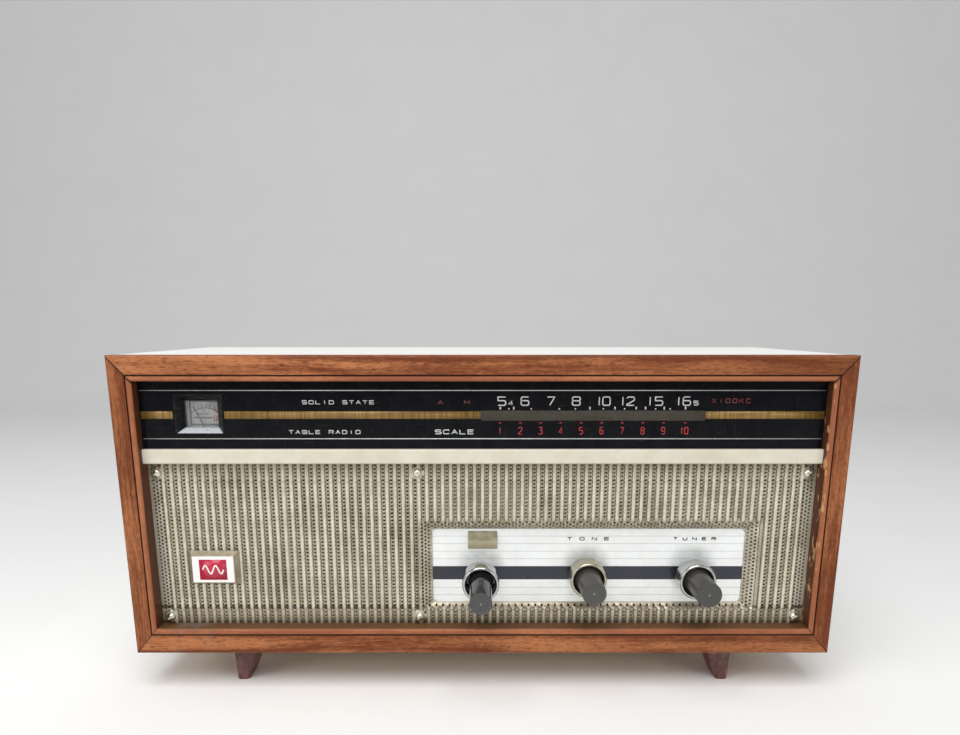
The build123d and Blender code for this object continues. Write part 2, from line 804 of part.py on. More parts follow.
# ---- tuning spindle and its bushing
spindle_back = chassis_depth + 12.0
spindle_rim = 0.8
with BuildPart() as tuning_spindle:
    with BuildSketch(upright(shaft_front("tuner"))):
        with Locations((tuner_x, knob_z)):
            Circle(shaft / 2)
    extrude(amount=-(spindle_back - shaft_front("tuner")))
    spindle_lanes = 3 * cord + 4 * running_gap
    for collar_depth in (lane_front - spindle_rim, lane_front + spindle_lanes):
        with BuildSketch(upright(collar_depth)):
            with Locations((tuner_x, knob_z)):
                Circle(spindle_radius + running_gap + cord + flange)
        extrude(amount=-spindle_rim)
    with BuildSketch(upright(lane_front)):
        with Locations((tuner_x, knob_z)):
            Circle(spindle_radius)
    extrude(amount=-spindle_lanes)
tuning_spindle.part.label = "tuning_spindle"
export_step(tuning_spindle.part, "parts/tuning_spindle.step")

nut_across = 12.0
nut_thick = 1.6
with BuildPart() as tuner_bushing:
    rear_collar = chassis_depth + chassis_sheet
    with BuildSketch(upright(rear_collar - chassis_sheet - 0.4)):
        with Locations((tuner_x, knob_z)):
            Circle(bushing / 2)
            Circle(shaft / 2 + shaft_fit, mode=Mode.SUBTRACT)
    extrude(amount=-(8.0 + chassis_sheet))
    with BuildSketch(upright(rear_collar)):
        with Locations((tuner_x, knob_z)):
            RegularPolygon(nut_across / 2, 6, major_radius=False)
            Circle(shaft / 2 + shaft_fit, mode=Mode.SUBTRACT)
    extrude(amount=-nut_thick)
tuner_bushing.part.label = "tuner_bushing"
export_step(tuner_bushing.part, "parts/tuner_bushing.step")

# ---- volume and tone controls: a can behind the chassis, a threaded neck, a nut on the plate
can_radius = 12.0
can_length = 13.0
terminal = 8.0
for control_name, control_x in [("volume", volume_x), ("tone", tone_x)]:
    can_depth = chassis_depth + chassis_sheet
    with BuildPart() as control:
        with BuildSketch(upright(can_depth)):
            with Locations((control_x, knob_z)):
                Circle(can_radius)
        extrude(amount=-can_length)
        with BuildSketch(upright(can_depth + 3)):
            for offset_x in (-5, 0, 5):
                with Locations((control_x + offset_x, knob_z - can_radius - terminal / 2 + 1)):
                    Rectangle(2.4, terminal)
        extrude(amount=-1)
        with BuildSketch(upright(plate_depth - nut_thick)):
            with Locations((control_x, knob_z)):
                Circle(bushing / 2)
        extrude(amount=-(can_depth - plate_depth + nut_thick))
        with BuildSketch(upright(plate_depth - nut_thick)):
            with Locations((control_x, knob_z)):
                RegularPolygon(nut_across / 2, 6, major_radius=False)
        extrude(amount=-nut_thick)
        with BuildSketch(upright(plate_depth - nut_thick)):
            with Locations((control_x, knob_z)):
                Circle(shaft / 2 + shaft_fit)
        extrude(amount=-(can_depth + can_length - 2 - plate_depth + nut_thick), mode=Mode.SUBTRACT)
    control.part.label = f"{control_name}_control"
    export_step(control.part, f"parts/{control_name}_control.step")

    with BuildPart() as control_shaft:
        with BuildSketch(upright(shaft_front(control_name))):
            with Locations((control_x, knob_z)):
                Circle(shaft / 2)
        extrude(amount=-(can_depth + can_length - 3 - shaft_front(control_name)))
    control_shaft.part.label = f"{control_name}_shaft"
    export_step(control_shaft.part, f"parts/{control_name}_shaft.step")

# ---- knobs: a long black grip that flares into a flange, in a bright metal cup
collar_radius = 9.9
collar_wall = 1.4
cup_floor = 2.0
grip_gap = 0.3
dish = 0.35                 # hollow turned in the tip
for knob_name, (knob_x, reach, clearance, tip_radius, root_radius) in knob_sizes.items():
    cup_back = plate_depth - clearance
    rim_depth = cup_back - cup_length
    axis_line = Axis((knob_x, face_y, knob_z), (0, 1, 0))
    profile_plane = Plane(origin=(knob_x, face_y, knob_z), x_dir=(1, 0, 0), z_dir=(0, 0, 1))
    with BuildPart() as grip:
        with BuildSketch(profile_plane):
            with BuildLine():
                Polyline(
                    (0, -reach + dish),
                    (tip_radius - 1.2, -reach + dish),
                    (tip_radius - 0.8, -reach),
                    (tip_radius - 0.35, -reach),
                    (tip_radius, -reach + 0.45),
                    (root_radius - 1.0, rim_depth + 1.0),
                    (root_radius, rim_depth + 2.4),
                    (root_radius, cup_back - cup_floor),
                    (0, cup_back - cup_floor),
                    close=True,
                )
            make_face()
        revolve(axis=axis_line)
        with BuildSketch(upright(shaft_front(knob_name))):
            with Locations((knob_x, knob_z)):
                Circle(shaft / 2)
        extrude(amount=-shaft_grip, mode=Mode.SUBTRACT)
    grip.part.label = f"{knob_name}_knob"
    export_step(grip.part, f"parts/{knob_name}_knob.step")

    with BuildPart() as collar:
        with BuildSketch(profile_plane):
            with BuildLine():
                Polyline(
                    (shaft / 2, cup_back),
                    (collar_radius - 0.5, cup_back),
                    (collar_radius, cup_back - 0.5),
                    (collar_radius - 0.2, rim_depth + 0.6),
                    (collar_radius - 0.7, rim_depth),
                    (collar_radius - collar_wall, rim_depth + 0.3),
                    (collar_radius - collar_wall, cup_back - cup_floor),
                    (shaft / 2, cup_back - cup_floor),
                    close=True,
                )
            make_face()
        revolve(axis=axis_line)
        with BuildSketch(Plane.YZ.offset(knob_x - collar_radius - 1)):
            with Locations((face_y + cup_back - cup_floor / 2, knob_z)):
                Circle(0.7)
        extrude(amount=collar_radius - shaft / 2 + 0.5, mode=Mode.SUBTRACT)
    collar.part.label = f"{knob_name}_collar"
    export_step(collar.part, f"parts/{knob_name}_collar.step")

# ---- pointer: a carriage on a round rail, an arm through the board, a red hand behind the glass
rail_rod = 2.4
rail_left = pulley_left_x - 11.0
rail_right = pulley_right_x + 13.0
hand_depth = glass_recess + glass + 0.9
hand_width = 1.3
hand_thick = 0.7
carriage_width = 11.0
carriage_size = 4.4
arm_width = 5.0
arm_sheet = 1.0
arm_low = rail_z - 6.2
step_height = 1.6
cord_z = pulley_z + pulley_radius + running_gap + cord_radius
clip_size = 3.0             # block that the cord passes through
with BuildPart() as dial_pointer:
    with BuildSketch(upright(drive_depth - carriage_size / 2)):
        with Locations((pointer_x, rail_z)):
            Rectangle(carriage_width, carriage_size)
    extrude(amount=-carriage_size)
    with BuildSketch(Plane.YZ.offset(pointer_x - carriage_width)):
        with Locations((drive_y, rail_z)):
            Circle(rail_rod / 2 + running_gap)
    extrude(amount=2 * carriage_width, mode=Mode.SUBTRACT)
    with BuildSketch(upright(drive_depth - carriage_size / 2)):
        span(
            pointer_x - arm_width / 2,
            pointer_x + arm_width / 2,
            cord_z - clip_size / 2,
            rail_z - carriage_size / 2,
        )
    extrude(amount=-arm_sheet)
    with BuildSketch(upright(hand_depth)):
        span(pointer_x - arm_width / 2, pointer_x + arm_width / 2, arm_low, arm_low + step_height)
    extrude(amount=-(drive_depth - carriage_size / 2 + arm_sheet - hand_depth))
    with BuildSketch(upright(hand_depth)):
        span(
            pointer_x - hand_width / 2,
            pointer_x + hand_width / 2,
            glass_low + 6.3,
            arm_low + step_height,
        )
    extrude(amount=-hand_thick)
    with BuildSketch(Plane.YZ.offset(pointer_x - arm_width / 2)):
        span(
            drive_y - carriage_size / 2,
            drive_y + clip_size / 2,
            cord_z - clip_size / 2,
            cord_z + clip_size / 2,
        )
    extrude(amount=arm_width)
    with BuildSketch(Plane.YZ.offset(pointer_x - arm_width)):
        with Locations((drive_y, cord_z)):
            Circle(cord_radius + running_gap)
    extrude(amount=2 * arm_width, mode=Mode.SUBTRACT)
dial_pointer.part.label = "dial_pointer"
export_step(dial_pointer.part, "parts/dial_pointer.step")

with BuildPart() as pointer_rail:
    with BuildSketch(Plane.YZ.offset(rail_left)):
        with Locations((drive_y, rail_z)):
            Circle(rail_rod / 2)
    extrude(amount=rail_right - rail_left)
pointer_rail.part.label = "pointer_rail"
export_step(pointer_rail.part, "parts/pointer_rail.step")

# ================================================================ tuning capacitor
capacitor_front = chassis_depth + chassis_sheet
capacitor_back = capacitor_front + 36.0
end_plate = 1.6
vane_radius = 15.0
vane = 1.0
vane_pitch = 4.0
vane_count = 6
first_vane = capacitor_front + end_plate + 5.0
frame_half = 19.0
stator_gap = 0.8            # between the fixed vanes' hollow and the shaft's hub
hub_radius = 4.2

with BuildPart() as tuning_capacitor:
    for plate_at in (capacitor_front, capacitor_back - end_plate):
        with BuildSketch(upright(plate_at)):
            with Locations((drum_x, drum_z)):
                Rectangle(2 * frame_half, 2 * frame_half)
                Circle(shaft / 2 + shaft_fit, mode=Mode.SUBTRACT)
        extrude(amount=-end_plate)
    for sign in (-1, 1):
        with BuildSketch(upright(capacitor_front)):
            with Locations((drum_x, drum_z + sign * (frame_half - end_plate / 2))):
                Rectangle(2 * frame_half, end_plate)
        extrude(amount=-(capacitor_back - capacitor_front))
    for index in range(vane_count - 1):
        with BuildSketch(upright(first_vane + vane_pitch / 2 + index * vane_pitch)):
            span(
                drum_x - frame_half + 1,
                drum_x - hub_radius - stator_gap,
                drum_z - frame_half + end_plate / 2,
                drum_z + frame_half - end_plate / 2,
            )
        extrude(amount=-vane)
tuning_capacitor.part.label = "tuning_capacitor"
export_step(tuning_capacitor.part, "parts/tuning_capacitor.step")

cord_line = drum_radius + running_gap + cord_radius
degrees_meshed = degrees((pointer_x - scale_left) / cord_line)
with BuildPart() as tuning_rotor:
    with BuildSketch(upright(drive_depth - drum_width / 2)):
        with Locations((drum_x, drum_z)):
            Circle(shaft / 2)
    extrude(amount=-(capacitor_back + 1.5 - drive_depth + drum_width / 2))
    with BuildSketch(upright(first_vane - 1.0)):
        with Locations((drum_x, drum_z)):
            Circle(hub_radius)
    extrude(amount=-((vane_count - 1) * vane_pitch + vane + 2.0))
    for index in range(vane_count):
        with BuildSketch(upright(first_vane + index * vane_pitch)):
            with Locations(Location((drum_x, drum_z), -degrees_meshed)):
                Circle(vane_radius)
                with Locations((vane_radius, 0)):
                    Rectangle(2 * vane_radius, 2 * vane_radius + 2, mode=Mode.SUBTRACT)
                Circle(hub_radius)
        extrude(amount=-vane)
tuning_rotor.part.label = "tuning_rotor"
export_step(tuning_rotor.part, "parts/tuning_rotor.step")

# ================================================================ chassis and circuit
rod_depth = base_back - 16.0
rod_z = top_z - panel - 12.0
rod_radius = 5.0
rod_left = chassis_left + 1.5
rod_right = chassis_right - 4.0
rod_clip_x = (rod_left + 4.0, rod_right - 4.0)
clip_width = 12.0
rail_ear = 3.0
ear_front = drive_depth - 2.2
with BuildPart() as chassis:
    with BuildSketch(upright(chassis_depth)):
        span(chassis_left, chassis_right, chassis_low, chassis_high)
        with Locations((volume_x, knob_z), (tone_x, knob_z), (tuner_x, knob_z)):
            Circle(bushing / 2, mode=Mode.SUBTRACT)
        with Locations((drum_x, drum_z)):
            Circle(shaft / 2 + 1.5, mode=Mode.SUBTRACT)
    extrude(amount=-chassis_sheet)
    with BuildSketch(Plane.XY.offset(chassis_low)):
        span(chassis_left, chassis_right, face_y + chassis_depth, face_y + base_back)
    extrude(amount=chassis_sheet)
    for clip_x in rod_clip_x:
        with BuildSketch(Plane.YZ.offset(clip_x - chassis_sheet / 2)):
            span(face_y + rod_depth - clip_width / 2, face_y + rod_depth + clip_width / 2, chassis_low, rod_z)
            with Locations((face_y + rod_depth, rod_z)):
                Circle(clip_width / 2 + 2)
                Circle(rod_radius, mode=Mode.SUBTRACT)
        extrude(amount=chassis_sheet)
    for ear_x in (rail_left, rail_right - rail_ear):
        with BuildSketch(upright(ear_front)):
            span(ear_x, ear_x + rail_ear, rail_z - rail_ear, chassis_high)
        extrude(amount=-(chassis_depth - ear_front))
        with BuildSketch(Plane.YZ.offset(ear_x - 1)):
            with Locations((drive_y, rail_z)):
                Circle(rail_rod / 2)
        extrude(amount=rail_ear + 2, mode=Mode.SUBTRACT)
    for pin_x in (pulley_left_x, pulley_right_x):
        with BuildSketch(upright(drive_depth - pulley_width / 2 - 0.4)):
            with Locations((pin_x, pulley_z)):
                Circle(pulley_pin / 2)
        extrude(amount=-(chassis_depth - drive_depth + pulley_width / 2 + 0.4))
chassis.part.label = "chassis"
export_step(chassis.part, "parts/chassis.step")

board_left = chassis_left + 15.5
board_right = chassis_right - 18.0
board_front_depth = chassis_depth + 26.0
board_rear_depth = base_back - 4.0
board_middle = (board_left + board_right) / 2
circuit_low = chassis_low + 11.0
circuit_sheet = 1.6
post_radius = 3.0
post_margin = 6.0


def board_row(share):
    """Y of a row of components, a share of the way back across the circuit board."""
    return face_y + board_front_depth + share * (board_rear_depth - board_front_depth)


with BuildPart() as circuit_board:
    with BuildSketch(Plane.XY.offset(circuit_low)):
        span(board_left, board_right, face_y + board_front_depth, face_y + board_rear_depth)
    extrude(amount=circuit_sheet)
    with BuildSketch(Plane.XY.offset(chassis_low + chassis_sheet)):
        post_x_space = board_right - board_left - 2 * post_margin
        post_y_space = board_rear_depth - board_front_depth - 2 * post_margin
        with Locations((board_middle, board_row(0.5))):
            with GridLocations(post_x_space, post_y_space, 2, 2):
                Circle(post_radius)
    extrude(amount=circuit_low - chassis_low - chassis_sheet)
circuit_board.part.label = "circuit_board"
export_step(circuit_board.part, "parts/circuit_board.step")

circuit_top = circuit_low + circuit_sheet
transistor_count = 7
transistor_pitch = 19.0
spacer_radius = 2.0
spacer = 3.0
transistor_radius = 3.4
transistor_height = 7.5
with BuildPart() as transistors:
    with BuildSketch(Plane.XY.offset(circuit_top)):
        with Locations((board_middle, board_row(0.2))):
            with GridLocations(transistor_pitch, 1.0, transistor_count, 1):
                Circle(spacer_radius)
    extrude(amount=spacer)
    with BuildSketch(Plane.XY.offset(circuit_top + spacer)):
        with Locations((board_middle, board_row(0.2))):
            with GridLocations(transistor_pitch, 1.0, transistor_count, 1):
                Circle(transistor_radius)
    extrude(amount=transistor_height)
transistors.part.label = "transistors"
export_step(transistors.part, "parts/transistors.step")

if_can = 10.0
if_can_height = 13.0
if_can_pitch = 17.0
core_radius = 2.4
core_recess = 1.5
component_rows = board_left + 31.0
with BuildPart() as if_cans:
    with BuildSketch(Plane.XY.offset(circuit_top)):
        with Locations((component_rows, board_row(0.48))):
            with GridLocations(if_can_pitch, 1.0, 4, 1):
                RectangleRounded(if_can, if_can, 1.0)
    extrude(amount=if_can_height)
    with BuildSketch(Plane.XY.offset(circuit_top + if_can_height - core_recess)):
        with Locations((component_rows, board_row(0.48))):
            with GridLocations(if_can_pitch, 1.0, 4, 1):
                Circle(core_radius)
    extrude(amount=core_recess, mode=Mode.SUBTRACT)
if_cans.part.label = "if_cans"
export_step(if_cans.part, "parts/if_cans.step")

electrolytic_radius = 4.5
electrolytic_height = 20.0
electrolytic_pitch = 15.0
with BuildPart() as electrolytics:
    with BuildSketch(Plane.XY.offset(circuit_top)):
        with Locations((component_rows, board_row(0.76))):
            with GridLocations(electrolytic_pitch, 1.0, 4, 1):
                Circle(electrolytic_radius)
    extrude(amount=electrolytic_height)
electrolytics.part.label = "electrolytics"
export_step(electrolytics.part, "parts/electrolytics.step")

core_width = 22.0
core_stack = 16.0
core_height = 18.0
winding_width = 15.0
winding_length = 24.0
winding_height = 12.0
with BuildPart() as audio_transformers:
    for core_x in (board_right - 59.0, board_right - 27.0):
        with BuildSketch(Plane.XY.offset(circuit_top)):
            with Locations((core_x, board_row(0.64))):
                Rectangle(core_width, core_stack)
        extrude(amount=core_height)
        with BuildSketch(Plane.XY.offset(circuit_top + (core_height - winding_height) / 2)):
            with Locations((core_x, board_row(0.64))):
                Rectangle(winding_width, winding_length)
        extrude(amount=winding_height)
audio_transformers.part.label = "audio_transformers"
export_step(audio_transformers.part, "parts/audio_transformers.step")

with BuildPart() as ferrite_rod:
    with BuildSketch(Plane.YZ.offset(rod_left)):
        with Locations((face_y + rod_depth, rod_z)):
            Circle(rod_radius)
    extrude(amount=rod_right - rod_left)
ferrite_rod.part.label = "ferrite_rod"
export_step(ferrite_rod.part, "parts/ferrite_rod.step")

coil_wall = 1.6
coil_length = 42.0
with BuildPart() as antenna_coil:
    with BuildSketch(Plane.YZ.offset(rod_left + 50.0)):
        with Locations((face_y + rod_depth, rod_z)):
            Circle(rod_radius + coil_wall)
            Circle(rod_radius, mode=Mode.SUBTRACT)
    extrude(amount=coil_length)
antenna_coil.part.label = "antenna_coil"
export_step(antenna_coil.part, "parts/antenna_coil.step")

# ================================================================ speaker
speaker_size = 102.0
speaker_x = 71.9 - inlay_x
speaker_z = meter_low - 3.0 - speaker_size / 2
cone_radius = 44.0
cone_deep = 20.0
basket_sheet = 1.2
magnet_radius = 27.0
magnet_thick = 22.0
cone_throat = 12.0
speaker_axis = Axis((speaker_x, face_y, speaker_z), (0, 1, 0))
speaker_plane = Plane(origin=(speaker_x, face_y, speaker_z), x_dir=(1, 0, 0), z_dir=(0, 0, 1))
basket_back = board_back + cone_deep + 8.0

with BuildPart() as speaker_basket:
    with BuildSketch(upright(board_back)):
        with Locations((speaker_x, speaker_z)):
            RectangleRounded(speaker_size, speaker_size, 10.0)
            Circle(cone_radius + 2.0, mode=Mode.SUBTRACT)
    extrude(amount=-basket_sheet)
    with BuildSketch(speaker_plane):
        with BuildLine():
            Polyline(
                (cone_radius + 2.0, board_back),
                (magnet_radius - 4.0, basket_back - basket_sheet),
                (cone_throat + 3.0, basket_back - basket_sheet),
                (cone_throat + 3.0, basket_back),
                (magnet_radius - 3.4, basket_back),
                (cone_radius + 3.4, board_back + basket_sheet),
                (cone_radius + 3.4, board_back),
                close=True,
            )
        make_face()
    revolve(axis=speaker_axis)
    with BuildSketch(upright(board_back + 4.0)):
        with Locations((speaker_x, speaker_z)):
            with PolarLocations(cone_radius * 0.82, 4, start_angle=45):
                Circle(11.0)
    extrude(amount=-(basket_back - board_back - 6.0), mode=Mode.SUBTRACT)
speaker_basket.part.label = "speaker_basket"
export_step(speaker_basket.part, "parts/speaker_basket.step")

with BuildPart() as speaker_cone:
    paper = 0.8
    with BuildSketch(speaker_plane):
        with BuildLine():
            Polyline(
                (0, board_back + cone_deep - 7.0),
                (cone_throat * 0.55, board_back + cone_deep - 5.6),
                (cone_throat, board_back + cone_deep - paper),
                (cone_radius - 5.0, board_back + 2.0),
                (cone_radius - 3.4, board_back + 0.6),
                (cone_radius - 1.6, board_back),
                (cone_radius + 1.2, board_back),
                (cone_radius + 1.2, board_back + paper),
                (cone_radius - 1.4, board_back + paper),
                (cone_radius - 3.2, board_back + 0.6 + paper),
                (cone_radius - 4.6, board_back + 2.0 + paper),
                (cone_throat, board_back + cone_deep + paper),
                (cone_throat - 0.6, board_back + cone_deep + 7.0),
                (cone_throat - 1.4, board_back + cone_deep + 7.0),
                (cone_throat - 1.4, board_back + cone_deep - paper),
                (cone_throat * 0.55, board_back + cone_deep - 5.6 + paper),
                (0, board_back + cone_deep - 7.0 + paper),
                close=True,
            )
        make_face()
    revolve(axis=speaker_axis)
speaker_cone.part.label = "speaker_cone"
export_step(speaker_cone.part, "parts/speaker_cone.step")

with BuildPart() as speaker_magnet:
    with BuildSketch(upright(basket_back)):
        with Locations((speaker_x, speaker_z)):
            Circle(magnet_radius)
    extrude(amount=-magnet_thick)
    fillet(speaker_magnet.faces().sort_by(Axis.Y)[-1].edges(), 2.0)
speaker_magnet.part.label = "speaker_magnet"
export_step(speaker_magnet.part, "parts/speaker_magnet.step")

# ================================================================ batteries
cell_radius = 16.8
cell_length = 61.0
cell_gap = 0.6
tray_wall = 2.0
tray_inner = 2 * cell_length + 6.0
tray_x = chassis_left - 1.0 - tray_wall - tray_inner / 2
tray_depth = cover_depth - cleat_length - 1.0 - 2 * tray_wall - 2 * cell_radius - 2 * cell_gap
tray_bottom = case_z + panel
with BuildPart() as battery_box:
    tray_back = tray_depth + 2 * tray_wall + 2 * cell_radius + 2 * cell_gap
    tray_high = tray_bottom + tray_wall + 4 * cell_radius + 2 * cell_gap
    with BuildSketch(Plane.XY.offset(tray_bottom)):
        span(
            tray_x - tray_inner / 2 - tray_wall,
            tray_x + tray_inner / 2 + tray_wall,
            face_y + tray_depth,
            face_y + tray_back,
        )
    extrude(amount=tray_high - 12 - tray_bottom)
    with BuildSketch(Plane.XY.offset(tray_bottom + tray_wall)):
        span(
            tray_x - tray_inner / 2,
            tray_x + tray_inner / 2,
            face_y + tray_depth + tray_wall,
            face_y + tray_back - tray_wall,
        )
    extrude(amount=tray_high, mode=Mode.SUBTRACT)
battery_box.part.label = "battery_box"
export_step(battery_box.part, "parts/battery_box.step")

with BuildPart() as cells:
    cell_depth = tray_depth + tray_wall + cell_gap + cell_radius
    for row in range(2):
        for column in range(2):
            start_x = tray_x - cell_length - 1.0 + column * (cell_length + 2.0)
            cell_z = tray_bottom + tray_wall + cell_radius + row * (2 * cell_radius + cell_gap)
            with BuildSketch(Plane.YZ.offset(start_x)):
                with Locations((face_y + cell_depth, cell_z)):
                    Circle(cell_radius)
            extrude(amount=cell_length - 1.5)
            with BuildSketch(Plane.YZ.offset(start_x)):
                with Locations((face_y + cell_depth, cell_z)):
                    Circle(4.5)
            extrude(amount=cell_length)
cells.part.label = "cells"
export_step(cells.part, "parts/cells.step")
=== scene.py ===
import math

import bmesh
import bpy
import numpy as np
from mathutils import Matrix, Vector


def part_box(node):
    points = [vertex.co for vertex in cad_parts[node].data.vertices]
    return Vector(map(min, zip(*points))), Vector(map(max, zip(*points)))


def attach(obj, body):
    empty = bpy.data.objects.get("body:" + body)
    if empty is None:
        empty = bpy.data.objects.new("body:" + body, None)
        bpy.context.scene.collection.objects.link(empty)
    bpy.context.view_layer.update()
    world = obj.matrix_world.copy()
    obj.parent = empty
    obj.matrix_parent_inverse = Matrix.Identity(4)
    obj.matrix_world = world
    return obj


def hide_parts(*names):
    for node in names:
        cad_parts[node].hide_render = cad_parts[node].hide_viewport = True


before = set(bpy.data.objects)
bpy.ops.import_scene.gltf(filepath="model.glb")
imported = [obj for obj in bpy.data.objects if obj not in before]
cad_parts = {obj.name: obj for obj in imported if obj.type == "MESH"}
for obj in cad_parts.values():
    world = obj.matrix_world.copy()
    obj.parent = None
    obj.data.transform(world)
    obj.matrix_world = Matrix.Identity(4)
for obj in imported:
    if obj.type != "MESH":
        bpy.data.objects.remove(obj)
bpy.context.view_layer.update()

# ---------------------------------------------------------------- the studio
# A pale paper sweep that the set stands on, lit by one broad soft light overhead and two
# weaker ones at the sides, and the camera a little above the dial.
def surface(name, points, faces, finish=None, smooth_below=None):
    """Mesh object at the origin from points in millimetres and faces as rows of point numbers."""
    faces = np.asarray(faces)
    mesh = bpy.data.meshes.new(name)
    mesh.vertices.add(len(points))
    mesh.vertices.foreach_set("co", (np.asarray(points, float) * 0.001).ravel())
    mesh.loops.add(faces.size)
    mesh.loops.foreach_set("vertex_index", faces.ravel().astype(np.int32))
    mesh.polygons.add(len(faces))
    mesh.polygons.foreach_set(
        "loop_start", np.arange(0, faces.size, faces.shape[1], dtype=np.int32)
    )
    mesh.update(calc_edges=True)
    mesh.validate()
    if smooth_below is not None:
        mesh.shade_smooth()
        mesh.set_sharp_from_angle(angle=math.radians(smooth_below))
    if finish is not None:
        mesh.materials.append(finish)
    made = bpy.data.objects.new(name, mesh)
    bpy.context.scene.collection.objects.link(made)
    return made


def grid_faces(rows, columns, wrap=False):
    """Quads that join a grid of points, row by row; wrap joins the last column to the first."""
    r, c = np.meshgrid(
        np.arange(rows - 1), np.arange(columns if wrap else columns - 1), indexing="ij"
    )
    following = (c + 1) % columns
    corners = [
        r * columns + c,
        r * columns + following,
        (r + 1) * columns + following,
        (r + 1) * columns + c,
    ]
    return np.stack(corners, axis=-1).reshape(-1, 4)


def add(tree, kind, sockets=None, **settings):
    """One more node: settings are its properties, sockets its inputs' values or what feeds them."""
    made = tree.nodes.new(kind)
    for key, value in settings.items():
        setattr(made, key, value)
    for key, value in (sockets or {}).items():
        if isinstance(value, bpy.types.NodeSocket):
            tree.links.new(value, made.inputs[key])
        else:
            made.inputs[key].default_value = value
    return made


def shade(name, roughness=0.5, metallic=0.0, **constants):
    """A new material: returns it, its node tree and its shader, with plain constants on the sockets."""
    material = bpy.data.materials.new(name)
    material.use_nodes = True
    shader = material.node_tree.nodes["Principled BSDF"]
    shader.inputs["Roughness"].default_value = roughness
    shader.inputs["Metallic"].default_value = metallic
    for key, value in constants.items():
        shader.inputs[key.replace("_", " ")].default_value = value
    return material, material.node_tree, shader


def blend(tree, factor, first, second, kind="MIX"):
    """Colour part way from first to second."""
    made = tree.nodes.new("ShaderNodeMix")
    made.data_type = "RGBA"
    made.blend_type = kind
    for index, value in ((0, factor), (6, first), (7, second)):
        if isinstance(value, bpy.types.NodeSocket):
            tree.links.new(value, made.inputs[index])
        elif index:
            made.inputs[index].default_value = (*value[:3], 1.0)
        else:
            made.inputs[index].default_value = value
    return made.outputs[2]


def reckon(tree, operation, first, second=0.0):
    """One sum on a value: multiply, subtract, maximum and so on."""
    return add(tree, "ShaderNodeMath", {0: first, 1: second}, operation=operation).outputs[0]


def rise(tree, value, low, high, bottom=0.0, top=1.0):
    """Smooth step from bottom to top as the value goes from low to high."""
    sockets = {"Value": value, "From Min": low, "From Max": high, "To Min": bottom, "To Max": top}
    return add(tree, "ShaderNodeMapRange", sockets, interpolation_type="SMOOTHSTEP").outputs[0]


def noise(tree, vector, scale, detail=3.0, roughness=0.5, distortion=0.0):
    """Cloudy value from 0 to 1 with about scale clouds to the metre."""
    sockets = {"Vector": vector, "Scale": scale, "Detail": detail, "Roughness": roughness}
    return add(tree, "ShaderNodeTexNoise", {**sockets, "Distortion": distortion}).outputs[0]


def stretched(tree, vector, scale, turn=(0, 0, 0), shift=(0, 0, 0)):
    """The pattern's coordinates, scaled differently each way."""
    sockets = {"Vector": vector, "Location": shift, "Rotation": turn, "Scale": scale}
    return add(tree, "ShaderNodeMapping", sockets).outputs[0]


sweep_finish, tree, shader = shade("pale_paper", roughness=0.85)
place = add(tree, "ShaderNodeTexCoord").outputs["Object"]
tree.links.new(
    blend(tree, noise(tree, place, 9.0), (0.84, 0.835, 0.82), (0.88, 0.875, 0.86)),
    shader.inputs["Base Color"],
)
paper_front, paper_wall, paper_top, paper_half = -3000.0, 2200.0, 3600.0, 3500
bend = 900      # radius of the paper's curve from floor to wall
strips = 9
turn = np.linspace(0, math.pi / 2, 24)
sweep_y = np.concatenate([[paper_front], 1300 + bend * np.sin(turn), [paper_wall]])
sweep_z = np.concatenate([[0.0], bend * (1 - np.cos(turn)), [paper_top]])
across = np.linspace(-paper_half, paper_half, strips)
sweep_points = np.stack(
    [
        np.tile(across, (len(sweep_y), 1)),
        np.tile(sweep_y[:, None], strips),
        np.tile(sweep_z[:, None], strips),
    ],
    axis=-1,
)
sweep = surface(
    "paper_sweep", sweep_points.reshape(-1, 3), grid_faces(len(sweep_y), strips), sweep_finish, 60
)

for lamp_name, spot, aim, size, power in [
    ("overhead_softbox", (-0.15, -0.75, 1.35), (0, 0, 0.08), 1.1, 17.5),
    ("left_softbox", (-1.3, -0.9, 0.7), (0, 0, 0.1), 0.8, 5.6),
    ("right_softbox", (1.2, -1.1, 0.6), (0, 0, 0.1), 0.7, 3.4),
]:
    lamp = bpy.data.lights.new(lamp_name, "AREA")
    lamp.size = size
    lamp.energy = power
    holder = bpy.data.objects.new(lamp_name, lamp)
    holder.location = spot
    holder.rotation_euler = (Vector(aim) - Vector(spot)).to_track_quat("-Z", "Y").to_euler()
    bpy.context.scene.collection.objects.link(holder)

world = bpy.data.worlds.new("studio_air")
world.use_nodes = True
world.node_tree.nodes["Background"].inputs["Color"].default_value = (0.95, 0.97, 1.0, 1.0)
world.node_tree.nodes["Background"].inputs["Strength"].default_value = 0.46
bpy.context.scene.world = world
bpy.context.scene.view_settings.view_transform = "Standard"

lens = bpy.data.cameras.new("studio_camera")
lens.sensor_width = 36.0
lens.lens = 27.98
lens.shift_y = 0.138
lens.clip_start = 0.01
camera = bpy.data.objects.new("studio_camera", lens)
camera.location = (-0.0016, -0.43805, 0.1973)
camera.rotation_euler = (math.radians(90 - 13.12), 0, math.radians(-0.03))
bpy.context.scene.collection.objects.link(camera)
bpy.context.scene.camera = camera


def extent(node):
    """A CAD node's lowest and highest corners, in millimetres."""
    low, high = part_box(node)
    return np.array(low) * 1000, np.array(high) * 1000


def dress(finish, *names):
    """Gives CAD nodes their finish."""
    for name in names:
        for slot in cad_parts[name].material_slots:
            slot.material = finish


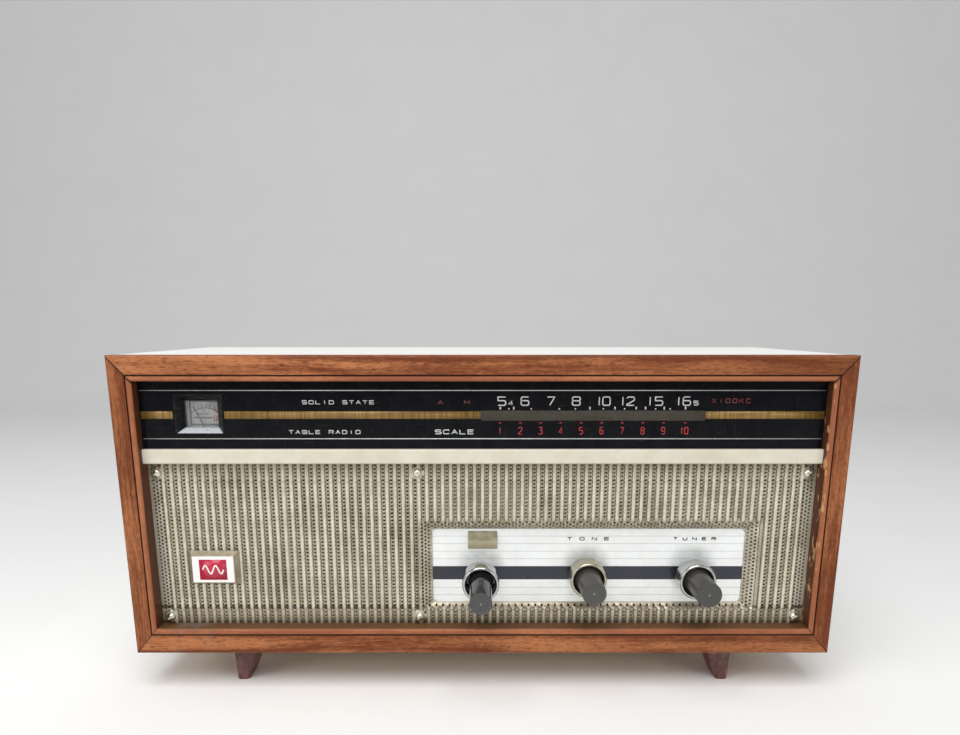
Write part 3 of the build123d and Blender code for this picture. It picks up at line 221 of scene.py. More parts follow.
# ---------------------------------------------------------------- walnut frame
# Four mitred rails of oiled walnut, glued to the case's front edge. Each has a bead along its
# inner edge, set off by a fine dark groove; the grain runs along each rail.
def shared_group(name, inputs, outputs):
    """Empty shader node group with named sockets: returns it, its input node and its output node."""
    group = bpy.data.node_groups.new(name, "ShaderNodeTree")
    for label, kind, start in inputs:
        socket = group.interface.new_socket(
            name=label, in_out="INPUT", socket_type=f"NodeSocket{kind}"
        )
        if start is not None:
            socket.default_value = start
    for label, kind in outputs:
        group.interface.new_socket(name=label, in_out="OUTPUT", socket_type=f"NodeSocket{kind}")
    return group, group.nodes.new("NodeGroupInput").outputs, group.nodes.new(
        "NodeGroupOutput"
    ).inputs


grain, source, result = shared_group(
    "wood_grain",
    [
        ("Vector", "Vector", None),
        ("Pale", "Color", (0.5, 0.3, 0.2, 1)),
        ("Dark", "Color", (0.2, 0.1, 0.05, 1)),
        ("Pores", "Float", 0.5),
        ("Figure", "Float", 1.0),
    ],
    [("Color", "Color"), ("Height", "Float"), ("Gloss", "Float")],
)
bend = noise(grain, stretched(grain, source["Vector"], (5, 22, 22)), 1.0, 2.0)
bent = add(
    grain,
    "ShaderNodeVectorMath",
    {
        0: source["Vector"],
        1: add(
            grain,
            "ShaderNodeCombineXYZ",
            {1: reckon(grain, "MULTIPLY", bend, 0.012), 2: reckon(grain, "MULTIPLY", bend, 0.012)},
        ).outputs[0],
    },
    operation="ADD",
).outputs[0]
bands = noise(grain, stretched(grain, bent, (7, 260, 260)), 1.0, 4.0, 0.6)
fibres = noise(grain, stretched(grain, bent, (55, 1700, 1700)), 1.0, 3.0, 0.65)
cloud = noise(grain, stretched(grain, source["Vector"], (14, 40, 40)), 1.0, 3.0, 0.6)
flecks = noise(grain, stretched(grain, source["Vector"], (330, 1900, 1900)), 1.0, 2.0, 0.5)
shimmer = noise(grain, stretched(grain, bent, (210, 620, 620)), 1.0, 2.0, 0.6)
cathedral = add(
    grain,
    "ShaderNodeTexWave",
    {
        "Vector": stretched(grain, bent, (2.2, 34, 34)),
        "Scale": 1.6,
        "Distortion": 7.0,
        "Detail": 3.0,
        "Detail Scale": 1.4,
    },
    wave_type="RINGS",
    rings_direction="Z",
).outputs[1]
tone = 0.0
for layer, weight in (
    (bands, 0.36), (fibres, 0.2), (cloud, 0.22), (shimmer, 0.14), (cathedral, 0.08)
):
    tone = reckon(grain, "ADD", tone, reckon(grain, "MULTIPLY", layer, weight))
tone = rise(grain, tone, 0.41, 0.6)
tone = reckon(grain, "MULTIPLY", tone, source["Figure"])
pores = reckon(grain, "MULTIPLY", rise(grain, flecks, 0.55, 0.66), source["Pores"])
wood = blend(grain, tone, source["Dark"], source["Pale"])
wood = blend(grain, pores, wood, (0.055, 0.02, 0.01))
grain.links.new(wood, result["Color"])
grain.links.new(
    reckon(grain, "SUBTRACT", reckon(grain, "MULTIPLY", fibres, 0.5), pores), result["Height"]
)
grain.links.new(rise(grain, fibres, 0.3, 0.8, 0.38, 0.58), result["Gloss"])

rail_low, rail_high = extent("frame_rail_left")
case_low, case_high = rail_low[2], rail_high[2]
case_half = -rail_low[0]
opening_half = -rail_high[0]
opening_low = extent("frame_rail_bottom")[1][2]
opening_high = extent("frame_rail_top")[0][2]
bead_share = 0.2


def walnut(
    name,
    upright,
    inner_mm,
    outer_mm,
    mitre_mm,
    dust=0.0,
    chips=0.0,
    stain=0.0,
    aged=(0.0, 0.0),
):
    """Oiled walnut whose grain runs along a rail; inner_mm and outer_mm are the edges of the rail's width."""
    material, tree, shader = shade(
        name, Coat_Roughness=0.3, Coat_Weight=0.03, Specular_IOR_Level=0.16
    )
    coords = add(tree, "ShaderNodeTexCoord")
    place = coords.outputs["Object"]
    along = stretched(
        tree, place, (1, 1, 1), (0, math.pi / 2, 0), (0.4, 0, 0)
    ) if upright else place
    made = add(
        tree,
        "ShaderNodeGroup",
        {
            "Vector": along,
            "Pale": (0.44, 0.165, 0.064, 1),
            "Dark": (0.15, 0.036, 0.011, 1),
            "Pores": 0.6,
        },
        node_tree=grain,
    )
    xyz = add(tree, "ShaderNodeSeparateXYZ", {0: place})
    width_at = reckon(tree, "ABSOLUTE", xyz.outputs[0]) if upright else xyz.outputs[2]
    share = add(
        tree,
        "ShaderNodeMapRange",
        {"Value": width_at, "From Min": inner_mm * 0.001, "From Max": outer_mm * 0.001},
    ).outputs[0]
    colour = made.outputs["Color"]
    # the wood darkens from left to right, as aged gives
    ageing = rise(tree, xyz.outputs[0], -0.02, 0.19, *aged)
    colour = blend(tree, ageing, colour, (0.125, 0.03, 0.007))
    # the bead is painted paler: a painted highlight where it catches more light, and fading
    bead = rise(tree, share, bead_share - 0.01, bead_share + 0.01, 0.4, 0.0)
    colour = blend(tree, bead, colour, (0.46, 0.17, 0.085))
    # the groove is painted dark: painted shade in the recess, with dirt; the mitre joints are dark
    middle = bead_share + 0.03
    groove = rise(
        tree,
        reckon(tree, "ABSOLUTE", reckon(tree, "SUBTRACT", share, middle)),
        0.02,
        0.045,
        0.92,
        0.0,
    )
    edge_x = reckon(tree, "SUBTRACT", case_half * 0.001, reckon(tree, "ABSOLUTE", xyz.outputs[0]))
    up = reckon(
        tree, "ABSOLUTE", reckon(tree, "SUBTRACT", xyz.outputs[2], (case_low + case_high) * 0.0005)
    )
    edge_z = reckon(tree, "SUBTRACT", (case_high - case_low) * 0.0005, up)
    slant = reckon(
        tree,
        "SUBTRACT",
        reckon(tree, "DIVIDE", edge_x, (case_half - opening_half) * 0.001),
        reckon(tree, "DIVIDE", edge_z, mitre_mm * 0.001),
    )
    mitre = rise(tree, reckon(tree, "ABSOLUTE", slant), 0.02, 0.05, 0.95, 0.0)
    colour = blend(tree, reckon(tree, "MAXIMUM", groove, mitre), colour, (0.03, 0.012, 0.007))
    # the reveal inside the opening is painted dark: painted shade, with grime; and the ledge is dusty
    reveal = rise(tree, share, 0.003, 0.0, 0.0, 0.88)
    colour = blend(tree, reveal, colour, (0.05, 0.017, 0.007))
    if dust:
        normal = add(tree, "ShaderNodeSeparateXYZ", {0: coords.outputs["Normal"]}).outputs[2]
        settled = reckon(
            tree,
            "MULTIPLY",
            rise(tree, normal, 0.6, 0.95, 0.0, dust),
            rise(tree, noise(tree, place, 60.0, 4.0), 0.25, 0.6, 0.55, 1.0),
        )
        colour = blend(tree, settled, colour, (0.15, 0.082, 0.038))
    if chips:
        patches = rise(
            tree, noise(tree, stretched(tree, place, (300, 300, 130)), 1.0, 3.0), 0.6, 0.66
        )
        near = rise(tree, share, bead_share * 0.7, 0.02, 0.0, chips)
        colour = blend(tree, reckon(tree, "MULTIPLY", patches, near), colour, (0.55, 0.31, 0.13))
    if stain:
        reach = reckon(tree, "ABSOLUTE", reckon(tree, "SUBTRACT", xyz.outputs[0], -0.158))
        mark = reckon(
            tree,
            "MULTIPLY",
            rise(tree, reach, 0.006, 0.014, stain, 0.0),
            rise(tree, noise(tree, place, 110.0, 4.0), 0.42, 0.62),
        )
        colour = blend(tree, mark, colour, (0.14, 0.1, 0.08))
    # rubbed corners along the front's outer edge, and none on the faces that turn away from it
    rubbed = reckon(
        tree,
        "MULTIPLY",
        rise(tree, share, 0.93, 0.995),
        rise(tree, noise(tree, place, 240.0, 4.0), 0.5, 0.62, 0.0, 0.55),
    )
    facing = add(tree, "ShaderNodeSeparateXYZ", {0: coords.outputs["Normal"]}).outputs[1]
    rubbed = reckon(tree, "MULTIPLY", rubbed, rise(tree, facing, -0.9, -0.5, 1.0, 0.0))
    colour = blend(tree, rubbed, colour, (0.46, 0.21, 0.1))
    tree.links.new(colour, shader.inputs["Base Color"])
    tree.links.new(made.outputs["Gloss"], shader.inputs["Roughness"])
    bump = add(
        tree,
        "ShaderNodeBump",
        {"Strength": 0.35, "Distance": 0.0002, "Height": made.outputs["Height"]},
    )
    tree.links.new(bump.outputs[0], shader.inputs["Normal"])
    return material


dress(
    walnut("walnut_top", False, opening_high, case_high, case_high - opening_high, aged=(0.0, 0.6)),
    "frame_rail_top",
)
dress(
    walnut(
        "walnut_bottom",
        False,
        opening_low,
        case_low,
        opening_low - case_low,
        dust=0.55,
        stain=0.8,
        aged=(0.05, 0.25),
    ),
    "frame_rail_bottom",
)
dress(
    walnut("walnut_left", True, opening_half, case_half, 13.6, aged=(0.3, 0.3)), "frame_rail_left"
)
dress(
    walnut("walnut_right", True, opening_half, case_half, 13.6, chips=0.9, aged=(0.3, 0.3)),
    "frame_rail_right",
)

# ---------------------------------------------------------------- white case panels
# Top and sides are chipboard faced with a thin white laminate, slightly yellowed, with a few
# scuffs. The wear group serves every painted, moulded or plated surface after them.
wear, source, result = shared_group(
    "surface_wear",
    [("Vector", "Vector", None), ("Scale", "Float", 1.0)],
    [("Mottle", "Float"), ("Scuffs", "Float"), ("Grime", "Float")],
)
scaled = add(
    wear, "ShaderNodeVectorMath", {0: source["Vector"], "Scale": source["Scale"]}, operation="SCALE"
).outputs[0]
wear.links.new(noise(wear, scaled, 60.0, 5.0, 0.6), result["Mottle"])
streaks = noise(wear, stretched(wear, scaled, (900, 60, 60), (0.3, 0.5, 0.6)), 1.0, 2.0)
crossing = noise(wear, stretched(wear, scaled, (50, 50, 800), (0.5, 0.2, 0.9)), 1.0, 2.0)
wear.links.new(rise(wear, reckon(wear, "MAXIMUM", streaks, crossing), 0.68, 0.76), result["Scuffs"])
wear.links.new(rise(wear, noise(wear, scaled, 18.0, 6.0, 0.7), 0.48, 0.72), result["Grime"])


def worn(
    name,
    base,
    dull,
    roughness,
    metallic=0.0,
    scale=1.0,
    scuffs=0.3,
    grime=0.3,
    soil=(0.1, 0.08, 0.06),
    bump=0.1,
    spread=0.12,
    **constants,
):
    """A finish that varies from base to dull, with scuffs, grime and an uneven gloss."""
    material, tree, shader = shade(name, metallic=metallic, **constants)
    place = add(tree, "ShaderNodeTexCoord").outputs["Object"]
    made = add(tree, "ShaderNodeGroup", {"Vector": place, "Scale": scale}, node_tree=wear)
    colour = blend(tree, rise(tree, made.outputs["Mottle"], 0.35, 0.65), base, dull)
    colour = blend(tree, reckon(tree, "MULTIPLY", made.outputs["Grime"], grime), colour, soil)
    bright = tuple(min(1.0, c * 1.25 + 0.03) for c in base)
    colour = blend(tree, reckon(tree, "MULTIPLY", made.outputs["Scuffs"], scuffs), colour, bright)
    tree.links.new(colour, shader.inputs["Base Color"])
    gloss = rise(
        tree,
        made.outputs["Mottle"],
        0.3,
        0.7,
        max(0.02, roughness - spread / 2),
        min(1.0, roughness + spread / 2),
    )
    tree.links.new(gloss, shader.inputs["Roughness"])
    height = reckon(tree, "SUBTRACT", made.outputs["Mottle"], made.outputs["Scuffs"])
    tree.links.new(
        add(
            tree, "ShaderNodeBump", {"Strength": bump, "Distance": 0.0001, "Height": height}
        ).outputs[0],
        shader.inputs["Normal"],
    )
    return material


dress(
    worn(
        "white_laminate",
        (0.92, 0.91, 0.88),
        (0.89, 0.875, 0.835),
        0.38,
        scuffs=0.15,
        grime=0.08,
        soil=(0.5, 0.45, 0.36),
    ),
    "top_panel",
    "side_panel_left",
    "side_panel_right",
)

# ---------------------------------------------------------------- bare wood inside and below
# The bottom and the corner blocks are plywood and softwood, left bare.
def bare_wood(name, pale, dark, turn=(0, 0, 0)):
    material, tree, shader = shade(name)
    place = add(tree, "ShaderNodeTexCoord").outputs["Object"]
    made = add(
        tree,
        "ShaderNodeGroup",
        {
            "Vector": stretched(tree, place, (1, 1, 1), turn),
            "Pale": (*pale, 1),
            "Dark": (*dark, 1),
            "Pores": 0.25,
        },
        node_tree=grain,
    )
    tree.links.new(made.outputs["Color"], shader.inputs["Base Color"])
    tree.links.new(
        rise(tree, made.outputs["Gloss"], 0.3, 0.6, 0.6, 0.8), shader.inputs["Roughness"]
    )
    bump = add(
        tree,
        "ShaderNodeBump",
        {"Strength": 0.4, "Distance": 0.0003, "Height": made.outputs["Height"]},
    )
    tree.links.new(bump.outputs[0], shader.inputs["Normal"])
    return material


dress(bare_wood("bare_plywood", (0.66, 0.48, 0.30), (0.50, 0.33, 0.18)), "bottom_panel")
dress(
    bare_wood("bare_softwood", (0.70, 0.53, 0.33), (0.55, 0.37, 0.2), (0, 0, math.pi / 2)),
    "corner_blocks",
)

# ---------------------------------------------------------------- feet
# Four short tapered feet, stained dark mahogany red and rubbed pale and grey at their edges,
# screwed up from inside the case.
feet_finish, tree, shader = shade("worn_mahogany", Coat_Weight=0.1, Coat_Roughness=0.4)
place = add(tree, "ShaderNodeTexCoord").outputs["Object"]
made = add(
    tree,
    "ShaderNodeGroup",
    {
        "Vector": stretched(tree, place, (1, 1, 1), (0, math.pi / 2, 0)),
        "Pale": (0.16, 0.043, 0.036, 1),
        "Dark": (0.06, 0.014, 0.012, 1),
    },
    node_tree=grain,
)
rub = add(tree, "ShaderNodeGroup", {"Vector": place, "Scale": 2.6}, node_tree=wear)
colour = blend(
    tree,
    reckon(tree, "MULTIPLY", rub.outputs["Grime"], 0.6),
    made.outputs["Color"],
    (0.25, 0.135, 0.12),
)
colour = blend(
    tree, reckon(tree, "MULTIPLY", rub.outputs["Scuffs"], 0.95), colour, (0.48, 0.37, 0.33)
)
tree.links.new(colour, shader.inputs["Base Color"])
tree.links.new(rise(tree, rub.outputs["Mottle"], 0.3, 0.7, 0.32, 0.6), shader.inputs["Roughness"])
tree.links.new(
    add(
        tree,
        "ShaderNodeBump",
        {"Strength": 0.4, "Distance": 0.0003, "Height": made.outputs["Height"]},
    ).outputs[0],
    shader.inputs["Normal"],
)
dress(feet_finish, "feet")

# ---------------------------------------------------------------- back
# A vented hardboard cover held by steel screws: brown pressed fibre, smooth outside.
hardboard, tree, shader = shade("brown_hardboard", roughness=0.62)
place = add(tree, "ShaderNodeTexCoord").outputs["Object"]
specks = noise(tree, stretched(tree, place, (700, 700, 700)), 1.0, 4.0, 0.7)
clouding = noise(tree, place, 22.0, 4.0)
colour = blend(tree, rise(tree, specks, 0.35, 0.7), (0.19, 0.105, 0.055), (0.31, 0.185, 0.10))
colour = blend(tree, rise(tree, clouding, 0.4, 0.7, 0.0, 0.35), colour, (0.15, 0.085, 0.045))
tree.links.new(colour, shader.inputs["Base Color"])
tree.links.new(
    add(
        tree, "ShaderNodeBump", {"Strength": 0.25, "Distance": 0.0002, "Height": specks}
    ).outputs[0],
    shader.inputs["Normal"],
)
dress(hardboard, "back_cover")
plated = worn(
    "plated_screw",
    (0.74, 0.72, 0.64),
    (0.6, 0.58, 0.5),
    0.28,
    1.0,
    6.0,
    grime=0.45,
    soil=(0.2, 0.16, 0.1),
)
dress(plated, "back_screws", "foot_screws")

# ---------------------------------------------------------------- baffle board
# Plywood stained black on its face, so that it doesn't show through the grille's holes: the near black also stands
# in for painted shade seen through them. Its edge strips, outside the speaker and control openings, have browned.
def between(tree, value, low, high, soft=0.00005):
    """1 where a coordinate lies between two edges given in millimetres."""
    low, high = low * 0.001, high * 0.001
    above = rise(tree, value, low - soft, low + soft)
    return reckon(tree, "MULTIPLY", above, rise(tree, value, high - soft, high + soft, 1.0, 0.0))


crease_low = case_low + 23.3
crease_high = case_low + 94.7
baffle, tree, shader = shade("stained_and_shaded_baffle", roughness=0.85, Specular_IOR_Level=0.1)
place = add(tree, "ShaderNodeTexCoord").outputs["Object"]
height_at = add(tree, "ShaderNodeSeparateXYZ", {0: place}).outputs[2]
made = add(
    tree,
    "ShaderNodeGroup",
    {"Vector": place, "Pale": (0.17, 0.125, 0.075, 1), "Dark": (0.09, 0.06, 0.035, 1)},
    node_tree=grain,
)
# the face between the creases is near black: black stain, and painted shade seen through the grille's holes
black_stain_and_shade = between(tree, height_at, crease_low - 1.0, crease_high + 1.0, 0.0004)
tree.links.new(
    blend(tree, black_stain_and_shade, made.outputs["Color"], (0.004, 0.0035, 0.003)), shader.inputs["Base Color"]
)
dress(baffle, "baffle_board")

# ---------------------------------------------------------------- grille
# One sheet of thin champagne-coloured metal, punched all over with staggered round holes, then
# pressed into upright ridges and, on the right, into a shallow pan round the control plate.
hole_rows = 2.02
hole_radius = 0.6
sheet = 0.6
grille_low, grille_high = extent("grille")
plate_low, plate_high = extent("control_plate")
ridge_pitch = 4.25
ridge_relief = 2.2
valley = extent("baffle_board")[0][1] - sheet
crest = valley - ridge_relief
ridge_start = -172.125
ridge_end = 172.125
plate_lap = 1.2
pan_inner = (
    plate_low[0] + plate_lap + sheet,
    plate_high[0] - plate_lap - sheet,
    plate_low[2] + plate_lap,
    plate_high[2] - plate_lap - sheet,
)
pan_outer = (pan_inner[0] - 7.2, pan_inner[1] + 7.7, pan_inner[2] - 2.6, pan_inner[3] + 5.1)
screw_low, screw_high = extent("grille_screws")
screw_xs = (screw_low[0] + 2.5, -34.6, screw_high[0] - 2.5)
screw_zs = (screw_low[2] + 2.5, screw_high[2] - 2.5)


def ridge_depth(x):
    """Y of the ridged sheet's front: a softened square wave between crest and valley, flat past the ends."""
    phase = (x - ridge_start) / ridge_pitch * 2 * np.pi
    wave = np.clip(-np.cos(phase) * 1.55, -1, 1)
    wave = np.sin(wave * np.pi / 2)
    inside = (x > ridge_start) & (x < ridge_end)
    return np.where(inside, valley - ridge_relief * (1 + wave) / 2, valley)


# distance along the folded sheet against x, from a fine walk over its section, counted from a crest;
# four columns of holes go to a ridge, so that one column falls on each crest and is left unpunched
walk_x = np.linspace(grille_low[0], grille_high[0], 24001)
walk_s = np.concatenate([[0], np.cumsum(np.hypot(np.diff(walk_x), np.diff(ridge_depth(walk_x))))])
crest_s = np.interp(
    [ridge_start + ridge_pitch / 2, ridge_start + ridge_pitch * 1.5], walk_x, walk_s
)
walk_s -= crest_s[0]
hole_columns = (crest_s[1] - crest_s[0]) / 4


def perforated(low_s, high_s, low_t, high_t, position, cut=None, spare=None):
    """Punched sheet: a staggered lattice of eight-sided holes, each in its own cell of the honeycomb between
    neighbours, given a thickness. position maps the flat sheet's (s, t) to x, y, z; nothing is made inside cut."""
    i = np.arange(math.floor(low_s / hole_columns) - 1, math.ceil(high_s / hole_columns) + 2)
    j = np.arange(math.floor(low_t / hole_rows) - 1, math.ceil(high_t / hole_rows) + 2)
    column, row = (a.ravel() for a in np.meshgrid(i, j, indexing="ij"))
    key_s, key_t = 3 * column, 2 * row + column % 2
    unit_s, unit_t = hole_columns / 3, hole_rows / 2
    s, t = key_s * unit_s, key_t * unit_t
    kept = (s > low_s - 2 * unit_s) & (
        s < high_s + 2 * unit_s
    ) & (t > low_t - unit_t) & (t < high_t + unit_t)
    if cut is not None:
        deep = (
            s > cut[0] + 2 * unit_s
        ) & (s < cut[1] - 2 * unit_s) & (t > cut[2] + unit_t) & (t < cut[3] - unit_t)
        kept &= ~deep
    key_s, key_t, s, t = key_s[kept], key_t[kept], s[kept], t[kept]

    def hold(u, v):
        """Moves points that lie off the sheet to its nearest edge."""
        u, v = np.clip(u, low_s, high_s), np.clip(v, low_t, high_t)
        if cut is not None:
            gaps = np.stack([u - cut[0], cut[1] - u, v - cut[2], cut[3] - v])
            within = (gaps > 0).all(0)
            nearest = gaps.argmin(0)
            u = np.where(
                within & (nearest == 0), cut[0], np.where(within & (nearest == 1), cut[1], u)
            )
            v = np.where(
                within & (nearest == 2), cut[2], np.where(within & (nearest == 3), cut[3], v)
            )
        return u, v

    rim = np.array([(2, 0), (1, 1), (0, 1), (-1, 1), (-2, 0), (-1, -1), (0, -1), (1, -1)])
    rim_s, rim_t = key_s[:, None] + rim[:, 0], key_t[:, None] + rim[:, 1]
    codes, rim_ids = np.unique((rim_s * 100000 + rim_t + 50000).ravel(), return_inverse=True)
    rim_ids = rim_ids.reshape(-1, 8)
    flat_s, flat_t = np.zeros(len(codes)), np.zeros(len(codes))
    flat_s[rim_ids], flat_t[rim_ids] = rim_s * unit_s, rim_t * unit_t
    flat_s, flat_t = hold(flat_s, flat_t)
    around = np.arange(8) * np.pi / 4
    hole_s, hole_t = s[:, None] + hole_radius * np.cos(around), t[:, None] + hole_radius * np.sin(around)
    held_s, held_t = hold(hole_s, hole_t)
    whole = ((np.abs(held_s - hole_s) + np.abs(held_t - hole_t)) < 1e-9).all(1)
    if spare is not None:
        whole &= ~spare(s, t)
    centre_s, centre_t = hold(s, t)
    hole_s = np.where(whole[:, None], hole_s, centre_s[:, None])
    hole_t = np.where(whole[:, None], hole_t, centre_t[:, None])
    hole_ids = len(codes) + np.arange(len(s))[:, None] * 8 + np.where(
        whole[:, None], np.arange(8), 0
    )
    all_s, all_t = np.concatenate(
        [flat_s, hole_s.ravel()]
    ), np.concatenate([flat_t, hole_t.ravel()])
    a, b = rim_ids, np.roll(rim_ids, -1, 1)
    c, d = np.roll(hole_ids, -1, 1), hole_ids
    faces = np.concatenate(
        [np.stack([a, b, c], -1).reshape(-1, 3), np.stack([a, c, d], -1).reshape(-1, 3)]
    )
    u, v = all_s[faces], all_t[faces]
    area = (u[:, 1] - u[:, 0]) * (v[:, 2] - v[:, 0]) - (u[:, 2] - u[:, 0]) * (v[:, 1] - v[:, 0])
    faces = faces[area > 1e-7]
    used, faces = np.unique(faces, return_inverse=True)
    faces = faces.reshape(-1, 3)
    x, y, z = position(all_s[used], all_t[used])
    count = len(used)
    front = np.stack([x, y, z], -1)
    back = front + (0, sheet, 0)
    edges = np.concatenate([faces[:, [0, 1]], faces[:, [1, 2]], faces[:, [2, 0]]])
    forward = edges[:, 0].astype(np.int64) * count + edges[:, 1]
    reverse = edges[:, 1].astype(np.int64) * count + edges[:, 0]
    open_edges = edges[~np.isin(forward, reverse)]
    a, b = open_edges[:, 0], open_edges[:, 1]
    walls = np.concatenate(
        [np.stack([b, a, a + count], -1), np.stack([b, a + count, b + count], -1)]
    )
    return np.concatenate([front, back]), np.concatenate([faces, faces[:, ::-1] + count, walls])


def screw_distance(x, z):
    return np.min([np.hypot(x - sx, z - sz) for sx in screw_xs for sz in screw_zs], axis=0)


def ridged(s, t):
    """Front of the ridged field: ridges, flattened a little past the creases and pressed flat under each screw."""
    x = np.interp(s, walk_s, walk_x)
    y = ridge_depth(x)
    outside = np.clip(np.maximum(crease_low - t, t - crease_high) / 0.9, 0, 1)
    y = valley - (valley - y) * (1 - 0.3 * outside)
    seat = np.clip((4.1 - screw_distance(x, t)) / 1.2, 0, 1)
    return x, y + (crest + 0.7 - y) * seat, t


def unpunched(s, t):
    """True for holes left out: those along a crest, and those under a screw's seat."""
    x = np.interp(s, walk_s, walk_x)
    return (screw_distance(x, t) < 3.1) | (ridge_depth(x) < crest + 0.12)


def pan_side(s, t):
    """Front of the pan: it slopes from the crests at its outline down to the control plate's edge."""
    share = np.min(
        [
            (s - pan_outer[0]) / (pan_inner[0] - pan_outer[0]),
            (pan_outer[1] - s) / (pan_outer[1] - pan_inner[1]),
            (t - pan_outer[2]) / (pan_inner[2] - pan_outer[2]),
            (pan_outer[3] - t) / (pan_outer[3] - pan_inner[3]),
        ],
        axis=0,
    )
    slope = crest + np.clip(share, 0, 1) * (plate_low[1] - sheet - crest)
    return s, np.maximum(slope, ridge_depth(s)), t


champagne, tree, shader = shade("champagne_metal", metallic=0.62, IOR=1.6)
coords = add(tree, "ShaderNodeTexCoord")
place = coords.outputs["Object"]
xyz = add(tree, "ShaderNodeSeparateXYZ", {0: place})
made = add(tree, "ShaderNodeGroup", {"Vector": place, "Scale": 2.2}, node_tree=wear)
depth_in = rise(tree, xyz.outputs[1], crest * 0.001 + 0.0002, valley * 0.001 + 0.0004)
colour = blend(
    tree, rise(tree, made.outputs["Mottle"], 0.35, 0.65), (0.715, 0.665, 0.54), (0.60, 0.55, 0.43)
)
# valleys painted darker than the crests: painted shade in the valleys
colour = blend(tree, reckon(tree, "MULTIPLY", depth_in, 0.45), colour, (0.47, 0.425, 0.33))
tarnish = reckon(
    tree, "MULTIPLY", made.outputs["Grime"], rise(tree, depth_in, 0.0, 1.0, 0.25, 0.75)
)
colour = blend(tree, tarnish, colour, (0.24, 0.185, 0.115))
# darker towards the grille's top and bottom margins: painted shade under the divider bar and above the ledge, with
# dirt
near_ends = reckon(
    tree,
    "ABSOLUTE",
    reckon(tree, "SUBTRACT", xyz.outputs[2], (grille_low[2] + grille_high[2]) * 0.0005),
)
colour = blend(tree, rise(tree, near_ends, 0.034, 0.0455, 0.0, 0.6), colour, (0.30, 0.245, 0.16))
# painted shade and shadow, with dirt, lie thick in the lower crease and between the ridges' feet, and thinner in
# the upper crease; dirt lies round the control plate
low_crease = between(tree, xyz.outputs[2], crease_low - 0.6, crease_low + 1.1, 0.0003)
feet_of_ridges = between(tree, xyz.outputs[2], grille_low[2] - 1.0, grille_low[2] + 1.3, 0.0003)
crease_shade_and_dirt = reckon(tree, "MULTIPLY", reckon(tree, "MAXIMUM", low_crease, feet_of_ridges), depth_in)
high_crease = between(tree, xyz.outputs[2], crease_high - 0.4, crease_high + 0.5, 0.0003)
crease_shade_and_dirt = reckon(
    tree,
    "MAXIMUM",
    reckon(tree, "MULTIPLY", crease_shade_and_dirt, 0.9),
    reckon(tree, "MULTIPLY", high_crease, 0.3),
)
colour = blend(tree, crease_shade_and_dirt, colour, (0.055, 0.042, 0.025))
pan_x = between(tree, xyz.outputs[0], pan_outer[0] - 1, pan_outer[1] + 1, 0.001)
pan_z = between(tree, xyz.outputs[2], pan_outer[2] - 1, pan_outer[3] + 1, 0.001)
handled = reckon(
    tree,
    "MULTIPLY",
    reckon(tree, "MULTIPLY", pan_x, pan_z),
    rise(tree, made.outputs["Mottle"], 0.3, 0.7, 0.25, 0.6),
)
colour = blend(tree, handled, colour, (0.34, 0.285, 0.2))
tree.links.new(colour, shader.inputs["Base Color"])
tree.links.new(rise(tree, made.outputs["Mottle"], 0.3, 0.7, 0.33, 0.5), shader.inputs["Roughness"])

parts = 5
ridge_cuts = np.linspace(walk_s[0], walk_s[-1], parts + 1)
pan_s = np.interp(pan_outer[:2], walk_x, walk_s)
for index in range(parts):
    low_s, high_s = ridge_cuts[index], ridge_cuts[index + 1]
    cut = (max(pan_s[0], low_s - 9), min(pan_s[1], high_s + 9), pan_outer[2], pan_outer[3])
    cut = cut if cut[0] < high_s and cut[1] > low_s else None
    points, faces = perforated(low_s, high_s, grille_low[2], grille_high[2], ridged, cut, unpunched)
    field = surface(f"grille_field_{index + 1}", points, faces, champagne, 50)
    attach(field, "case")
    if index == 0:
        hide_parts("grille")
points, faces = perforated(*pan_outer, pan_side, pan_inner)
pan = surface("grille_pan", points, faces, champagne, 50)
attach(pan, "case")

# ---------------------------------------------------------------- grille screws
# Six small nickel-plated round-head screws with one slot, driven through flats in the grille.
def turned(profile, centre_x, centre_z, steps=96):
    """Surface of revolution about the Y axis through a centre: profile rows are (radius, y), front to back."""
    radius, y = np.array(profile, float).T
    angle = np.arange(steps) / steps * 2 * np.pi
    x = centre_x + radius[:, None] * np.cos(angle)
    z = centre_z + radius[:, None] * np.sin(angle)
    points = np.stack([x, np.broadcast_to(y[:, None], x.shape), z], -1).reshape(-1, 3)
    return points, grid_faces(len(profile), steps, wrap=True)


def sealed(made):
    """Merges the points that meet at a pole or a seam, and turns the faces outwards."""
    work = bmesh.new()
    work.from_mesh(made.data)
    bmesh.ops.remove_doubles(work, verts=work.verts, dist=1e-7)
    bmesh.ops.recalc_face_normals(work, faces=work.faces)
    work.to_mesh(made.data)
    work.free()
    return made


def gather(shapes):
    """Several (points, faces) joined in one mesh."""
    starts = np.cumsum([0] + [len(points) for points, _ in shapes[:-1]])
    return (
        np.concatenate([points for points, _ in shapes]),
        np.concatenate([faces + start for (_, faces), start in zip(shapes, starts)]),
    )


dress(plated, "grille_screws")

# ---------------------------------------------------------------- badge
# A pressed tray that stands across the ridges, with a small enamelled plate riveted to it. The
# maker's sign is left out: the red square carries a plain two-period wave instead.
dress(
    worn(
        "tarnished_tray",
        (0.42, 0.37, 0.27),
        (0.3, 0.255, 0.18),
        0.42,
        0.6,
        3.0,
        grime=0.5,
        soil=(0.13, 0.1, 0.06),
    ),
    "badge_tray",
)
badge_low, badge_high = extent("badge_plate")
badge_middle = ((badge_low[0] + badge_high[0]) / 2, (badge_low[2] + badge_high[2]) / 2)
white_enamel = worn(
    "white_enamel",
    (0.84, 0.83, 0.80),
    (0.79, 0.77, 0.73),
    0.25,
    scale=3.0,
    scuffs=0.2,
    grime=0.12,
    soil=(0.4, 0.33, 0.24),
)
red_enamel = worn(
    "red_enamel", (0.50, 0.018, 0.055), (0.42, 0.014, 0.045), 0.25, scale=3.0, scuffs=0.1, grime=0.1
)
dress(white_enamel, "badge_plate")
PRINT = 0.03


